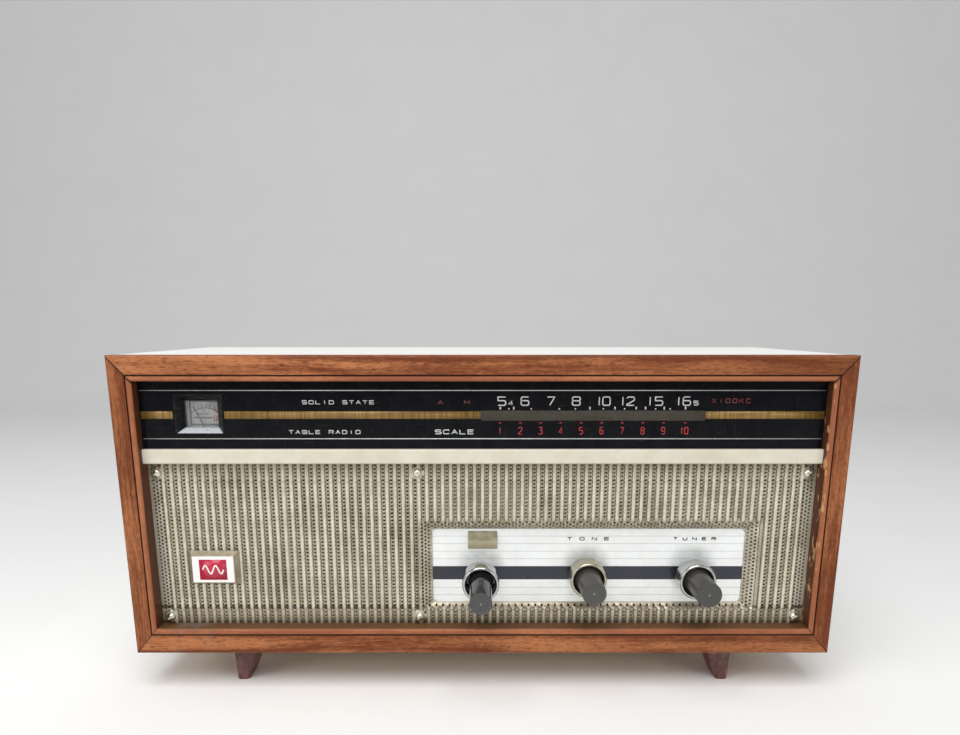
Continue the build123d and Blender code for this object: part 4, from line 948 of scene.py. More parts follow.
def slab(u, v, y, thickness=PRINT):
    """Thin flat plate facing the listener: an outline of (x, z) points, anticlockwise, fanned from its middle."""
    u, v = np.asarray(u, float), np.asarray(v, float)
    count = len(u)
    front = np.stack([u, np.full(count, y - thickness), v], -1)
    middle = front.mean(0, keepdims=True)
    points = np.concatenate([front, front + (0, thickness, 0), middle, middle + (0, thickness, 0)])
    k = np.arange(count)
    following = (k + 1) % count
    top = np.stack([k, following, np.full(count, 2 * count)], -1)
    bottom = np.stack([following + count, k + count, np.full(count, 2 * count + 1)], -1)
    side = [
        np.stack([following, k, k + count], -1),
        np.stack([following, k + count, following + count], -1),
    ]
    return points, np.concatenate([top, bottom, *side])


def block(low_x, high_x, low_z, high_z, y, thickness=PRINT):
    """A slab with straight sides, such as a ruled line or a bar."""
    return slab([low_x, high_x, high_x, low_x], [low_z, low_z, high_z, high_z], y, thickness)


def stroke(path, width, y):
    """Flat ribbon along (x, z) points: each point is set off by half the width to either side, along the mitre
    of its two runs, and the section is a thin rectangle. A path that ends where it starts is closed."""
    path = np.array(path, float)
    closed = np.allclose(path[0], path[-1])
    if closed:
        path = path[:-1]
    ahead = np.roll(path, -1, 0) - path
    behind = path - np.roll(path, 1, 0)
    if not closed:
        ahead[-1], behind[0] = behind[-1], ahead[0]
    ahead /= np.linalg.norm(ahead, axis=1, keepdims=True)
    behind /= np.linalg.norm(behind, axis=1, keepdims=True)
    mean = ahead + behind
    mean /= np.linalg.norm(mean, axis=1, keepdims=True)
    reach = width / 2 / np.maximum(0.6, (mean * ahead).sum(1, keepdims=True))
    aside = np.stack([-mean[:, 1], mean[:, 0]], -1) * reach
    left, right = path + aside, path - aside
    count = len(path)
    front, back = np.full(count, y - PRINT), np.full(count, y)
    corners = [(left, front), (right, front), (right, back), (left, back)]
    points = np.stack(
        [np.stack([side[:, 0], depth, side[:, 1]], -1) for side, depth in corners], 1
    ).reshape(-1, 3)
    quads = grid_faces(count + closed, 4, wrap=True) % (4 * count)
    if not closed:
        quads = np.concatenate(
            [quads, [[3, 2, 1, 0]], [[4 * count - 4, 4 * count - 3, 4 * count - 2, 4 * count - 1]]]
        )
    return points, np.concatenate([quads[:, :3], quads[:, [0, 2, 3]]])


def arc(centre_x, centre_z, radius, start, end, steps=25):
    """Points along part of a circle, from start to end in degrees."""
    angle = np.radians(np.linspace(start, end, steps))
    return np.stack([centre_x + radius * np.cos(angle), centre_z + radius * np.sin(angle)], -1)


def printed(name, shapes, finish):
    """Printing or enamel of several slabs, in one piece that stays with the case."""
    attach(sealed(surface(name, *gather(shapes), finish)), "case")


red_half = 5.7
printed(
    "badge_red_square",
    [
        block(
            badge_middle[0] - 7.4,
            badge_middle[0] + 7.4,
            badge_middle[1] - red_half,
            badge_middle[1] + red_half,
            badge_low[1],
        )
    ],
    red_enamel,
)
wave_half, wave_height = 5.6, 2.3
wave_x = np.linspace(-wave_half, wave_half, 49)
wave = np.stack(
    [
        badge_middle[0] + wave_x,
        badge_middle[1] + wave_height * np.sin(2 * np.pi * wave_x / wave_half),
    ],
    -1,
)
printed("badge_wave", [stroke(wave, 0.8, badge_low[1] - PRINT)], white_enamel)

# ---------------------------------------------------------------- divider bar
# A moulded cream bar under the dial, satin, with a few grey marks.
dress(
    worn(
        "cream_plastic",
        (0.635, 0.595, 0.49),
        (0.585, 0.54, 0.43),
        0.35,
        scuffs=0.15,
        grime=0.16,
        scale=1.6,
        soil=(0.38, 0.31, 0.2),
        Coat_Weight=0.25,
        Coat_Roughness=0.25,
    ),
    "divider_bar",
)

# ---------------------------------------------------------------- dial glass
# Clear glass printed black on its back, with a grey see-through slot for the pointer. It is
# shown as one dark glossy sheet, and its printing lies on its face.
glass_low, glass_high = extent("dial_glass")
slot_opacity = 0.42     # the pointer shows faintly through it
slot_left, slot_right = -0.9, 115.6
slot_low, slot_high = case_low + 127.3, case_low + 132.6
dial_black, tree, shader = shade("back_printed_glass", roughness=0.05, IOR=1.17)
place = add(tree, "ShaderNodeTexCoord").outputs["Object"]
xyz = add(tree, "ShaderNodeSeparateXYZ", {0: place})
made = add(tree, "ShaderNodeGroup", {"Vector": place, "Scale": 2.0}, node_tree=wear)
slot_mask = reckon(
    tree,
    "MULTIPLY",
    between(tree, xyz.outputs[0], slot_left, slot_right),
    between(tree, xyz.outputs[2], slot_low, slot_high),
)
colour = blend(
    tree,
    rise(tree, made.outputs["Mottle"], 0.3, 0.7),
    (0.003, 0.0033, 0.0045),
    (0.006, 0.0063, 0.008),
)
colour = blend(
    tree, reckon(tree, "MULTIPLY", made.outputs["Scuffs"], 0.25), colour, (0.07, 0.07, 0.075)
)
colour = blend(tree, slot_mask, colour, (0.104, 0.094, 0.073))
tree.links.new(colour, shader.inputs["Base Color"])
tree.links.new(rise(tree, slot_mask, 0.0, 1.0, 1.0, slot_opacity), shader.inputs["Alpha"])
tree.links.new(rise(tree, made.outputs["Grime"], 0.0, 1.0, 0.03, 0.16), shader.inputs["Roughness"])
dress(dial_black, "dial_glass")

# ---------------------------------------------------------------- dial printing
# Silver rules, a striated gold band, white and red figures. Words are plain and generic.
silver_ink = worn(
    "silver_ink", (0.62, 0.64, 0.62), (0.50, 0.52, 0.51), 0.3, 0.35, 5.0, scuffs=0.2, grime=0.25
)
white_ink = worn(
    "white_ink", (0.56, 0.58, 0.55), (0.46, 0.48, 0.45), 0.4, 0.0, 8.0, scuffs=0.1, grime=0.15
)
red_ink = worn(
    "red_ink", (0.42, 0.022, 0.026), (0.33, 0.017, 0.02), 0.4, 0.0, 8.0, scuffs=0.1, grime=0.15
)
dim_red_ink = worn(
    "dim_red_ink", (0.19, 0.013, 0.016), (0.12, 0.009, 0.011), 0.4, 0.0, 8.0, scuffs=0.1, grime=0.3
)
gold_foil, tree, shader = shade("striated_gold", roughness=0.4, metallic=0.25)
place = add(tree, "ShaderNodeTexCoord").outputs["Object"]
strokes = noise(tree, stretched(tree, place, (2600, 10, 10)), 1.0, 2.0, 0.6)
swell = noise(tree, stretched(tree, place, (35, 10, 300)), 1.0, 3.0)
colour = blend(tree, rise(tree, strokes, 0.34, 0.66), (0.145, 0.08, 0.018), (0.35, 0.21, 0.05))
colour = blend(tree, rise(tree, swell, 0.4, 0.65, 0.0, 0.45), colour, (0.13, 0.07, 0.018))
tree.links.new(colour, shader.inputs["Base Color"])

glass_y = glass_low[1]
bezel_low, bezel_high = extent("meter_bezel")
rules = [
    block(
        glass_low[0] + 0.6, glass_high[0] - 0.6, case_low + at - 0.22, case_low + at + 0.22, glass_y
    ) for at in (143.0, 117.9)
]
printed("dial_rules", rules, silver_ink)
band_low, band_high = case_low + 128.3, case_low + 132.25
bands_x = [
    (glass_low[0] + 0.4, bezel_low[0] - 0.7),
    (bezel_high[0] + 0.7, slot_left - 0.1),
    (slot_right + 0.1, glass_high[0] - 0.4),
]
printed(
    "dial_gold_band", [block(a, b, band_low, band_high, glass_y) for a, b in bands_x], gold_foil
)


# each figure or letter is one or more strokes on a unit square
ROUND = [
    (0.15, 0),
    (0, 0.15),
    (0, 0.85),
    (0.15, 1),
    (0.85, 1),
    (1, 0.85),
    (1, 0.15),
    (0.85, 0),
    (0.15, 0),
]
BOWL = [(0, 0), (0, 1), (0.85, 1), (1, 0.87), (1, 0.62), (0.85, 0.5), (0, 0.5)]
letter_strokes = {
    "0": [ROUND],
    "O": [ROUND],
    "1": [[(0.5, 0), (0.5, 1)]],
    "I": [[(0.5, 0), (0.5, 1)]],
    "2": [
        [
            (0, 0.82),
            (0.15, 1),
            (0.85, 1),
            (1, 0.85),
            (1, 0.65),
            (0.85, 0.52),
            (0, 0.1),
            (0, 0),
            (1, 0),
        ]
    ],
    "3": [
        [
            (0, 1),
            (1, 1),
            (0.5, 0.58),
            (0.85, 0.55),
            (1, 0.4),
            (1, 0.15),
            (0.85, 0),
            (0.15, 0),
            (0, 0.12),
        ]
    ],
    "4": [[(0.72, 0), (0.72, 1), (0, 0.3), (1, 0.3)]],
    "5": [[(1, 1), (0, 1), (0, 0.56), (0.85, 0.56), (1, 0.42), (1, 0.14), (0.85, 0), (0, 0)]],
    "6": [
        [
            (0.95, 1),
            (0.15, 1),
            (0, 0.85),
            (0, 0.15),
            (0.15, 0),
            (0.85, 0),
            (1, 0.15),
            (1, 0.42),
            (0.85, 0.56),
            (0, 0.56),
        ]
    ],
    "7": [[(0, 1), (1, 1), (0.35, 0)]],
    "8": [
        [
            (0.15, 0.54),
            (0, 0.66),
            (0, 0.88),
            (0.15, 1),
            (0.85, 1),
            (1, 0.88),
            (1, 0.66),
            (0.85, 0.54),
            (0.15, 0.54),
        ],
        [
            (0.15, 0.54),
            (0, 0.4),
            (0, 0.14),
            (0.15, 0),
            (0.85, 0),
            (1, 0.14),
            (1, 0.4),
            (0.85, 0.54),
        ],
    ],
    "9": [
        [
            (0.05, 0),
            (0.85, 0),
            (1, 0.15),
            (1, 0.85),
            (0.85, 1),
            (0.15, 1),
            (0, 0.85),
            (0, 0.58),
            (0.15, 0.44),
            (1, 0.44),
        ]
    ],
    "A": [[(0, 0), (0.5, 1), (1, 0)], [(0.2, 0.35), (0.8, 0.35)]],
    "B": [BOWL, [(0.85, 0.5), (1, 0.38), (1, 0.13), (0.85, 0), (0, 0)]],
    "C": [[(1, 0.82), (0.85, 1), (0.15, 1), (0, 0.85), (0, 0.15), (0.15, 0), (0.85, 0), (1, 0.18)]],
    "D": [[(0, 0), (0, 1), (0.8, 1), (1, 0.8), (1, 0.2), (0.8, 0), (0, 0)]],
    "E": [[(1, 1), (0, 1), (0, 0), (1, 0)], [(0, 0.52), (0.9, 0.52)]],
    "K": [[(0, 0), (0, 1)], [(1, 1), (0, 0.45)], [(0.35, 0.62), (1, 0)]],
    "L": [[(0, 1), (0, 0), (1, 0)]],
    "M": [[(0, 0), (0, 1), (0.5, 0.35), (1, 1), (1, 0)]],
    "N": [[(0, 0), (0, 1), (1, 0), (1, 1)]],
    "R": [BOWL, [(0.55, 0.5), (1, 0)]],
    "S": [
        [
            (1, 0.86),
            (0.85, 1),
            (0.15, 1),
            (0, 0.87),
            (0, 0.65),
            (0.15, 0.53),
            (0.85, 0.5),
            (1, 0.37),
            (1, 0.13),
        ] + [(0.85, 0), (0.15, 0), (0, 0.14)]
    ],
    "T": [[(0, 1), (1, 1)], [(0.5, 1), (0.5, 0)]],
    "U": [[(0, 1), (0, 0.15), (0.15, 0), (0.85, 0), (1, 0.15), (1, 1)]],
    "X": [[(0, 0), (1, 1)], [(0, 1), (1, 0)]],
}


def lettering(words, y, line):
    """Printed words: rows are (text, middle x, middle z, height, whole width, one letter's width). Letters stand
    at equal steps, and each is drawn with strokes as wide as line."""
    shapes = []
    for text, x, z, height, total, letter in words:
        steps = np.linspace(
            -(total - letter) / 2, (total - letter) / 2, len(text)
        ) if len(text) > 1 else [0.0]
        for mark, step in zip(text, steps):
            for path in letter_strokes.get(mark, []):
                at = np.array(path) - 0.5
                shapes.append(
                    stroke(
                        np.stack(
                            [x + step + at[:, 0] * (letter - line), z + at[:, 1] * (height - line)],
                            -1,
                        ),
                        line,
                        y,
                    )
                )
    return shapes


number_z, mark_z, log_z = case_low + 137.5, case_low + 133.9, case_low + 122.1
number_y = 4.9
numbers = [
    ("5", 9.9, number_z, number_y, 4.6, 4.6),
    ("6", 21.9, number_z, number_y, 4.6, 4.6),
    ("7", 35.3, number_z, number_y, 4.4, 4.4),
    ("8", 48.4, number_z, number_y, 4.6, 4.6),
    ("1", 60.3, number_z, number_y, 2.0, 2.0),
    ("0", 64.0, number_z, number_y, 4.4, 4.4),
    ("1", 72.5, number_z, number_y, 2.0, 2.0),
    ("2", 76.5, number_z, number_y, 4.4, 4.4),
    ("1", 86.6, number_z, number_y, 2.0, 2.0),
    ("5", 91.2, number_z, number_y, 4.4, 4.4),
    ("1", 101.4, number_z, number_y, 2.0, 2.0),
    ("6", 105.6, number_z, number_y, 4.4, 4.4),
]
small_numbers = [
    ("4", 14.5, number_z - 1.0, 2.5, 2.7, 2.7), ("5", 110.4, number_z - 1.0, 2.5, 2.7, 2.7)
]
dial_words = [
    ("SOLID STATE", -74.8, case_low + 136.9, 2.15, 37.5, 2.7),
    ("TABLE RADIO", -82.5, case_low + 121.4, 2.15, 37.5, 2.7),
]
ink = lettering(numbers, glass_y, 0.6) + lettering(small_numbers, glass_y, 0.45)
ink += lettering(dial_words, glass_y, 0.42)
ink += lettering([("SCALE", -14.7, case_low + 121.5, 2.6, 20.5, 3.5)], glass_y, 0.55)
marks_x = [9.13, 16.10, 55.57, 68.54, 79.56, 84.40, 94.08, 105.11]
dots_x = [13.58, 25.19, 39.70, 48.02, 62.54, 73.57, 89.63, 97.17]
ink += [block(x - 0.36, x + 0.36, mark_z - 0.75, mark_z + 0.75, glass_y) for x in marks_x]
ink += [block(x - 0.36, x + 0.36, mark_z - 0.75, mark_z - 0.05, glass_y) for x in dots_x]
printed("dial_figures", ink, white_ink)
log_x = [9.1, 19.6, 30.2, 40.7, 51.3, 62.0, 72.6, 83.4, 94.1, 105.5]
red = []
for n, x in enumerate(log_x[:9]):
    red += lettering([(str(n + 1), x, log_z, 3.9, 2.1, 2.1)], glass_y, 0.45)
red += lettering(
    [("1", log_x[9] - 1.6, log_z, 3.9, 1.0, 1.0), ("0", log_x[9] + 0.7, log_z, 3.9, 2.3, 2.3)],
    glass_y,
    0.5,
)
red += [block(x - 0.7, x + 0.7, case_low + 126.0, case_low + 126.45, glass_y) for x in log_x]
printed("dial_log_scale", red, red_ink)
band_words = [
    ("AM", -15.0, case_low + 136.8, 2.2, 17.0, 3.2),
    ("X100KC", 128.6, case_low + 137.7, 2.5, 20.3, 2.5),
]
faint = lettering(band_words, glass_y, 0.42)
printed("dial_band_words", faint, dim_red_ink)

# ---------------------------------------------------------------- tuning meter
# A black moulded bezel with bevelled sides, a clear barrel-shaped window, and a white card with
# a black scale and a red end behind a fine needle.
gloss_black = worn(
    "gloss_black_moulding",
    (0.012, 0.012, 0.014),
    (0.018, 0.018, 0.02),
    0.16,
    scale=3.0,
    scuffs=0.25,
    grime=0.15,
    soil=(0.06, 0.055, 0.05),
    bump=0.04,
    spread=0.1,
)
dress(gloss_black, "meter_needle")
bezel_black, tree, shader = shade("bevelled_black", roughness=0.22, IOR=1.25)
coords = add(tree, "ShaderNodeTexCoord")
facing = add(tree, "ShaderNodeSeparateXYZ", {0: coords.outputs["Normal"]}).outputs[2]
bevel_noise = noise(tree, coords.outputs["Object"], 420.0, 4.0)
# the lower bevel, which faces up, is painted pale grey: a painted reflection of the light above
pale = reckon(
    tree, "MULTIPLY", rise(tree, facing, 0.3, 0.6), rise(tree, bevel_noise, 0.3, 0.5, 0.7, 1.0)
)
colour = blend(tree, rise(tree, bevel_noise, 0.45, 0.7), (0.006, 0.006, 0.007), (0.02, 0.02, 0.022))
tree.links.new(blend(tree, pale, colour, (0.52, 0.54, 0.56)), shader.inputs["Base Color"])
dress(bezel_black, "meter_bezel")
card_white = worn(
    "meter_card",
    (0.47, 0.46, 0.43),
    (0.31, 0.30, 0.28),
    0.55,
    scale=4.0,
    scuffs=0.05,
    grime=0.15,
    soil=(0.35, 0.3, 0.24),
)
dress(card_white, "meter_case")
clear, tree, shader = shade("clear_moulding", roughness=0.08, IOR=1.5, Alpha=0.1)
place = add(tree, "ShaderNodeTexCoord").outputs["Object"]
tree.links.new(
    blend(tree, noise(tree, place, 300.0, 4.0), (0.8, 0.84, 0.84), (0.66, 0.7, 0.7)),
    shader.inputs["Base Color"],
)
tree.links.new(
    rise(tree, noise(tree, place, 500.0), 0.3, 0.7, 0.03, 0.16), shader.inputs["Roughness"]
)
dress(clear, "meter_window")
meter_middle = (bezel_low + bezel_high) / 2
pivot_z = meter_middle[2] - 9.0
card_y = extent("meter_needle")[0][1] + 1.4
black_ink = worn(
    "black_ink", (0.02, 0.02, 0.022), (0.04, 0.04, 0.042), 0.5, 0.0, 8.0, scuffs=0.1, grime=0.1
)
scale_marks = [stroke(arc(meter_middle[0], pivot_z, 11.6, 68, 128), 0.45, card_y)]
for angle in range(68, 129, 10):
    ray = np.array([math.cos(math.radians(angle)), math.sin(math.radians(angle))])
    middle = np.array([meter_middle[0], pivot_z])
    scale_marks.append(stroke([middle + 11.6 * ray, middle + 13.4 * ray], 0.38, card_y))
# dark surround of the card, and two bars under the scale
half_x, half_z = 7.9, 6.3
surround = [
    (-half_x, -half_z), (half_x, -half_z), (half_x, half_z), (-half_x, half_z), (-half_x, -half_z)
]
surround = np.array(surround) + (meter_middle[0], meter_middle[2])
scale_marks.append(stroke(surround, 0.9, card_y))
for rise_mm, left_mm, right_mm, thick in ((6.4, -6.3, 3.4, 1.0), (8.4, -5.2, 2.4, 0.5)):
    ends = [
        (meter_middle[0] + left_mm, pivot_z + rise_mm),
        (meter_middle[0] + right_mm, pivot_z + rise_mm),
    ]
    scale_marks.append(stroke(ends, thick, card_y))
printed("meter_scale", scale_marks, black_ink)
red_marks = [stroke(arc(meter_middle[0], pivot_z, 11.6, 50, 67), 1.1, card_y)]
for aside_mm in (4.4, 5.6, 6.6):
    ends = [
        (meter_middle[0] + aside_mm, pivot_z + 4.6), (meter_middle[0] + aside_mm, pivot_z + 7.6)
    ]
    red_marks.append(stroke(ends, 0.5, card_y))
printed("meter_red_end", red_marks, red_ink)

# ---------------------------------------------------------------- control plate
# White enamelled metal with fine grey ruling and one broad black stripe through the shafts.
control_white, tree, shader = shade("ruled_enamel", Coat_Weight=0.2, Coat_Roughness=0.15)
place = add(tree, "ShaderNodeTexCoord").outputs["Object"]
xyz = add(tree, "ShaderNodeSeparateXYZ", {0: place})
made = add(tree, "ShaderNodeGroup", {"Vector": place, "Scale": 2.0}, node_tree=wear)
colour = blend(
    tree, rise(tree, made.outputs["Mottle"], 0.35, 0.65), (0.83, 0.85, 0.84), (0.78, 0.79, 0.77)
)
ruled = None
line_half, line_blur = 0.14, 0.00004
for at in (25.5, 29.6, 33.9, 50.6, 54.9, 59.2, 63.5, 67.8):
    line = between(
        tree, xyz.outputs[2], case_low + at - line_half, case_low + at + line_half, line_blur
    )
    ruled = line if ruled is None else reckon(tree, "MAXIMUM", ruled, line)
colour = blend(tree, reckon(tree, "MULTIPLY", ruled, 0.62), colour, (0.26, 0.27, 0.28))
colour = blend(
    tree, reckon(tree, "MULTIPLY", made.outputs["Scuffs"], 0.12), colour, (0.5, 0.5, 0.48)
)
# a darker patch round each cup, centred 3 mm above it: painted shadow and reflection of the cup on the plate, with
# finger dirt
for knob in ("volume", "tone", "tuner"):
    cup_low, cup_high = extent(f"{knob}_collar")
    away = add(
        tree,
        "ShaderNodeVectorMath",
        {
            0: add(tree, "ShaderNodeCombineXYZ", {0: xyz.outputs[0], 2: xyz.outputs[2]}).outputs[0],
            1: (
                (cup_low[0] + cup_high[0]) * 0.0005, 0, (cup_low[2] + cup_high[2]) * 0.0005 + 0.003
            ),
        },
        operation="DISTANCE",
    ).outputs["Value"]
    cup_shadow_and_dirt = reckon(
        tree,
        "MULTIPLY",
        rise(tree, away, 0.0085, 0.0155, 0.5, 0.0),
        rise(tree, made.outputs["Mottle"], 0.3, 0.7, 0.6, 1.0),
    )
    colour = blend(tree, cup_shadow_and_dirt, colour, (0.22, 0.23, 0.215))
stripe_low, stripe_high = case_low + 38.6, case_low + 46.3
stripe = between(tree, xyz.outputs[2], stripe_low, stripe_high)
colour = blend(tree, stripe, colour, (0.0145, 0.0165, 0.0265))
tree.links.new(colour, shader.inputs["Base Color"])
tree.links.new(rise(tree, made.outputs["Mottle"], 0.3, 0.7, 0.26, 0.4), shader.inputs["Roughness"])
dress(control_white, "control_plate")
words = [
    ("TONE", 57.8, case_low + 62.0, 2.0, 23.2, 2.9),
    ("TUNER", 116.0, case_low + 62.0, 1.9, 23.6, 2.6),
]
printed("control_words", lettering(words, plate_low[1], 0.5), black_ink)

# ---------------------------------------------------------------- pilot lens
# An aged clear window for the pilot lamp, moulded with two shallow flutes across it.
lens_finish, tree, shader = shade(
    "olive_lens", roughness=0.18, IOR=1.5, Coat_Weight=0.6, Coat_Roughness=0.08
)
place = add(tree, "ShaderNodeTexCoord").outputs["Object"]
xyz = add(tree, "ShaderNodeSeparateXYZ", {0: place})
lens_low, lens_high = extent("pilot_lens")
middle_z = (lens_low[2] + lens_high[2]) * 0.0005
# the upper flute is painted lighter than the lower: painted light and shade on the two flutes
upper = rise(tree, xyz.outputs[2], middle_z - 0.0006, middle_z + 0.0006)
colour = blend(tree, upper, (0.36, 0.32, 0.2), (0.2, 0.175, 0.105))
colour = blend(
    tree,
    rise(tree, noise(tree, place, 260.0, 5.0), 0.35, 0.7, 0.0, 0.5),
    colour,
    (0.42, 0.38, 0.25),
)
# a near-black border round the lens, widest along its top: painted shade at its edge
inner_x = between(tree, xyz.outputs[0], lens_low[0] + 0.8, lens_high[0] - 0.8, 0.0002)
inner_z = between(tree, xyz.outputs[2], lens_low[2] + 0.5, lens_high[2] - 1.0, 0.0002)
inside = reckon(tree, "MULTIPLY", inner_x, inner_z)
colour = blend(tree, inside, (0.02, 0.017, 0.011), colour)
tree.links.new(colour, shader.inputs["Base Color"])
dress(lens_finish, "pilot_lens")

# ---------------------------------------------------------------- knobs and their cups
# Long turned grips pressed on the shafts, each standing in a polished metal cup. The volume's
# is gloss black; the other two have worn to a satin grey.
def softened(corners, bevel):
    """Profile with each inner corner of a polyline of (radius, y) rounded by three points of a curve through it."""
    rows = [np.array(corners[0], float)]
    for before, corner, after in zip(corners[:-2], corners[1:-1], corners[2:]):
        before, corner, after = (np.array(p, float) for p in (before, corner, after))
        reach_in = min(bevel, 0.45 * np.linalg.norm(corner - before))
        reach_out = min(bevel, 0.45 * np.linalg.norm(after - corner))
        start = corner + (before - corner) / np.linalg.norm(before - corner) * reach_in
        end = corner + (after - corner) / np.linalg.norm(after - corner) * reach_out
        for share in (0.0, 0.33, 0.67, 1.0):
            rows.append(
                (1 - share) ** 2 * start + 2 * share * (1 - share) * corner + share**2 * end
            )
    rows.append(np.array(corners[-1], float))
    return np.array(rows)


def turned_metal(
    name,
    bright,
    dull,
    roughness,
    metallic,
    ring_scale,
    centre,
    tip=None,
    tip_y=0.0,
    **constants,
):
    """A turned surface: fine rings round the shaft's axis, uneven gloss and light wear."""
    material, tree, shader = shade(name, metallic=metallic, **constants)
    place = add(tree, "ShaderNodeTexCoord").outputs["Object"]
    xyz = add(tree, "ShaderNodeSeparateXYZ", {0: place})
    away_x = reckon(tree, "SUBTRACT", xyz.outputs[0], centre[0] * 0.001)
    away_z = reckon(tree, "SUBTRACT", xyz.outputs[2], centre[1] * 0.001)
    square = reckon(
        tree,
        "ADD",
        reckon(tree, "MULTIPLY", away_x, away_x),
        reckon(tree, "MULTIPLY", away_z, away_z),
    )
    radius = reckon(tree, "POWER", square, 0.5)
    rings = add(tree, "ShaderNodeCombineXYZ", {0: radius, 1: xyz.outputs[1]}).outputs[0]
    fine = noise(tree, rings, ring_scale, 3.0, 0.7)
    made = add(tree, "ShaderNodeGroup", {"Vector": place, "Scale": 3.0}, node_tree=wear)
    colour = blend(tree, rise(tree, fine, 0.3, 0.7), bright, dull)
    colour = blend(
        tree,
        reckon(tree, "MULTIPLY", made.outputs["Grime"], 0.2),
        colour,
        tuple(c * 0.45 for c in dull),
    )
    colour = blend(
        tree,
        reckon(tree, "MULTIPLY", made.outputs["Scuffs"], 0.15),
        colour,
        tuple(min(1.0, c * 1.6 + 0.04) for c in bright),
    )
    gloss = rise(tree, fine, 0.3, 0.7, roughness * 0.75, roughness * 1.3)
    if tip is not None:
        at_tip = rise(
            tree, xyz.outputs[1], (tip_y + 0.55) * 0.001, (tip_y + 0.75) * 0.001, 1.0, 0.0
        )
        # the tip is a satin face in its own lighter grey, partly a painted reflection of the light it faces
        turned_tip = blend(tree, rise(tree, fine, 0.3, 0.7), tip, tuple(c * 0.62 for c in tip))
        # a small bright spot where the lathe's centre stood
        turned_tip = blend(
            tree, rise(tree, radius, 0.0003, 0.0009, 0.6, 0.0), turned_tip, (0.24, 0.23, 0.2)
        )
        colour = blend(tree, at_tip, colour, turned_tip)
        gloss = reckon(tree, "MAXIMUM", gloss, reckon(tree, "MULTIPLY", at_tip, 0.42))
    tree.links.new(colour, shader.inputs["Base Color"])
    tree.links.new(gloss, shader.inputs["Roughness"])
    bump = add(tree, "ShaderNodeBump", {"Strength": 0.12, "Distance": 0.00005, "Height": fine})
    tree.links.new(bump.outputs[0], shader.inputs["Normal"])
    return material


# lighter greys of the knobs' satin tips, partly painted reflection
tip_looks = {
    "volume": (0.066, 0.067, 0.066), "tone": (0.073, 0.071, 0.062), "tuner": (0.062, 0.06, 0.05)
}
knob_looks = {
    "volume": (
        (0.012, 0.012, 0.015),
        (0.018, 0.018, 0.022),
        0.12,
        (0.64, 0.64, 0.64),
        (0.42, 0.42, 0.42),
        0.13,
    ),
    "tone": (
        (0.05, 0.045, 0.038),
        (0.036, 0.033, 0.028),
        0.38,
        (0.60, 0.57, 0.46),
        (0.42, 0.39, 0.29),
        0.26,
    ),
    "tuner": (
        (0.048, 0.044, 0.038),
        (0.035, 0.032, 0.027),
        0.35,
        (0.60, 0.60, 0.59),
        (0.42, 0.42, 0.41),
        0.22,
    ),
}
for knob, (grip_pale, grip_dark, grip_gloss, cup_bright, cup_dull, cup_gloss) in knob_looks.items():
    low, high = extent(f"{knob}_knob")
    cup_low, cup_high = extent(f"{knob}_collar")
    centre = ((low[0] + high[0]) / 2, (low[2] + high[2]) / 2)
    tip_y, root_y, root_radius = low[1], high[1], (high[0] - low[0]) / 2
    tip_radius = {"volume": 5.6, "tone": 6.2, "tuner": 6.5}[knob]
    rim_y, floor_y, cup_radius = cup_low[1], cup_high[1], (cup_high[0] - cup_low[0]) / 2
    rim_width = min(2.0, cup_radius - root_radius - 0.5)
    grip_profile = softened(
        [
            (0.0, tip_y + 0.12),
            (0.9, tip_y + 0.12),
            (1.0, tip_y + 0.38),
            (tip_radius - 1.3, tip_y + 0.35),
            (tip_radius - 0.8, tip_y),
            (tip_radius, tip_y),
            (root_radius - 1.0, rim_y + 1.0),
            (root_radius, rim_y + 2.4),
            (root_radius, root_y),
            (0.0, root_y),
        ],
        0.35,
    )
    grip_finish = turned_metal(
        f"{knob}_grip", grip_pale, grip_dark, grip_gloss, 0.0, 5200, centre, tip_looks[knob], tip_y
    )
    grip = sealed(surface(f"{knob}_grip", *turned(grip_profile[::-1], *centre), grip_finish, 42))
    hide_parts(f"{knob}_knob")
    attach(grip, knob)
    cup_profile = softened(
        [
            (3.0, floor_y - 2.0),
            (cup_radius - rim_width - 0.1, floor_y - 2.0),
            (cup_radius - rim_width, rim_y + 0.6),
            (cup_radius - rim_width + 0.6, rim_y),
            (cup_radius - 0.6, rim_y + 0.15),
            (cup_radius, rim_y + 1.1),
            (cup_radius, floor_y - 0.6),
            (cup_radius - 0.6, floor_y),
            (3.0, floor_y),
        ],
        0.45,
    )
    cup_profile = np.concatenate([cup_profile, cup_profile[:1]])
    cup_finish = turned_metal(f"{knob}_cup", cup_bright, cup_dull, cup_gloss, 1.0, 3800, centre)
    cup = sealed(surface(f"{knob}_cup", *turned(cup_profile[::-1], *centre), cup_finish, 42))
    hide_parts(f"{knob}_collar")
    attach(cup, knob)

# ---------------------------------------------------------------- dial drive
# The red hand hangs from a carriage on a steel rod and is clipped to a waxed cord, which runs
# over two brass pulleys, round the tuning spindle and the capacitor's moulded drum.
dress(
    worn("red_hand", (0.62, 0.03, 0.02), (0.5, 0.02, 0.015), 0.3, scale=5.0, grime=0.1),
    "dial_pointer",
)
bare_steel = worn(
    "plated_steel",
    (0.6, 0.6, 0.57),
    (0.47, 0.46, 0.42),
    0.38,
    0.9,
    2.0,
    scuffs=0.35,
    grime=0.4,
    soil=(0.18, 0.14, 0.09),
)
dress(
    bare_steel,
    "pointer_rail",
    "tuning_spindle",
    "volume_shaft",
    "tone_shaft",
    "volume_control",
    "tone_control",
)
dress(
    worn(
        "turned_brass",
        (0.72, 0.55, 0.26),
        (0.56, 0.4, 0.17),
        0.32,
        1.0,
        3.0,
        grime=0.3,
        soil=(0.2, 0.13, 0.05),
    ),
    "cord_pulley_left",
    "cord_pulley_right",
    "tuner_bushing",
)
cord_finish, tree, shader = shade("waxed_cord", roughness=0.7)
place = add(tree, "ShaderNodeTexCoord").outputs["Object"]
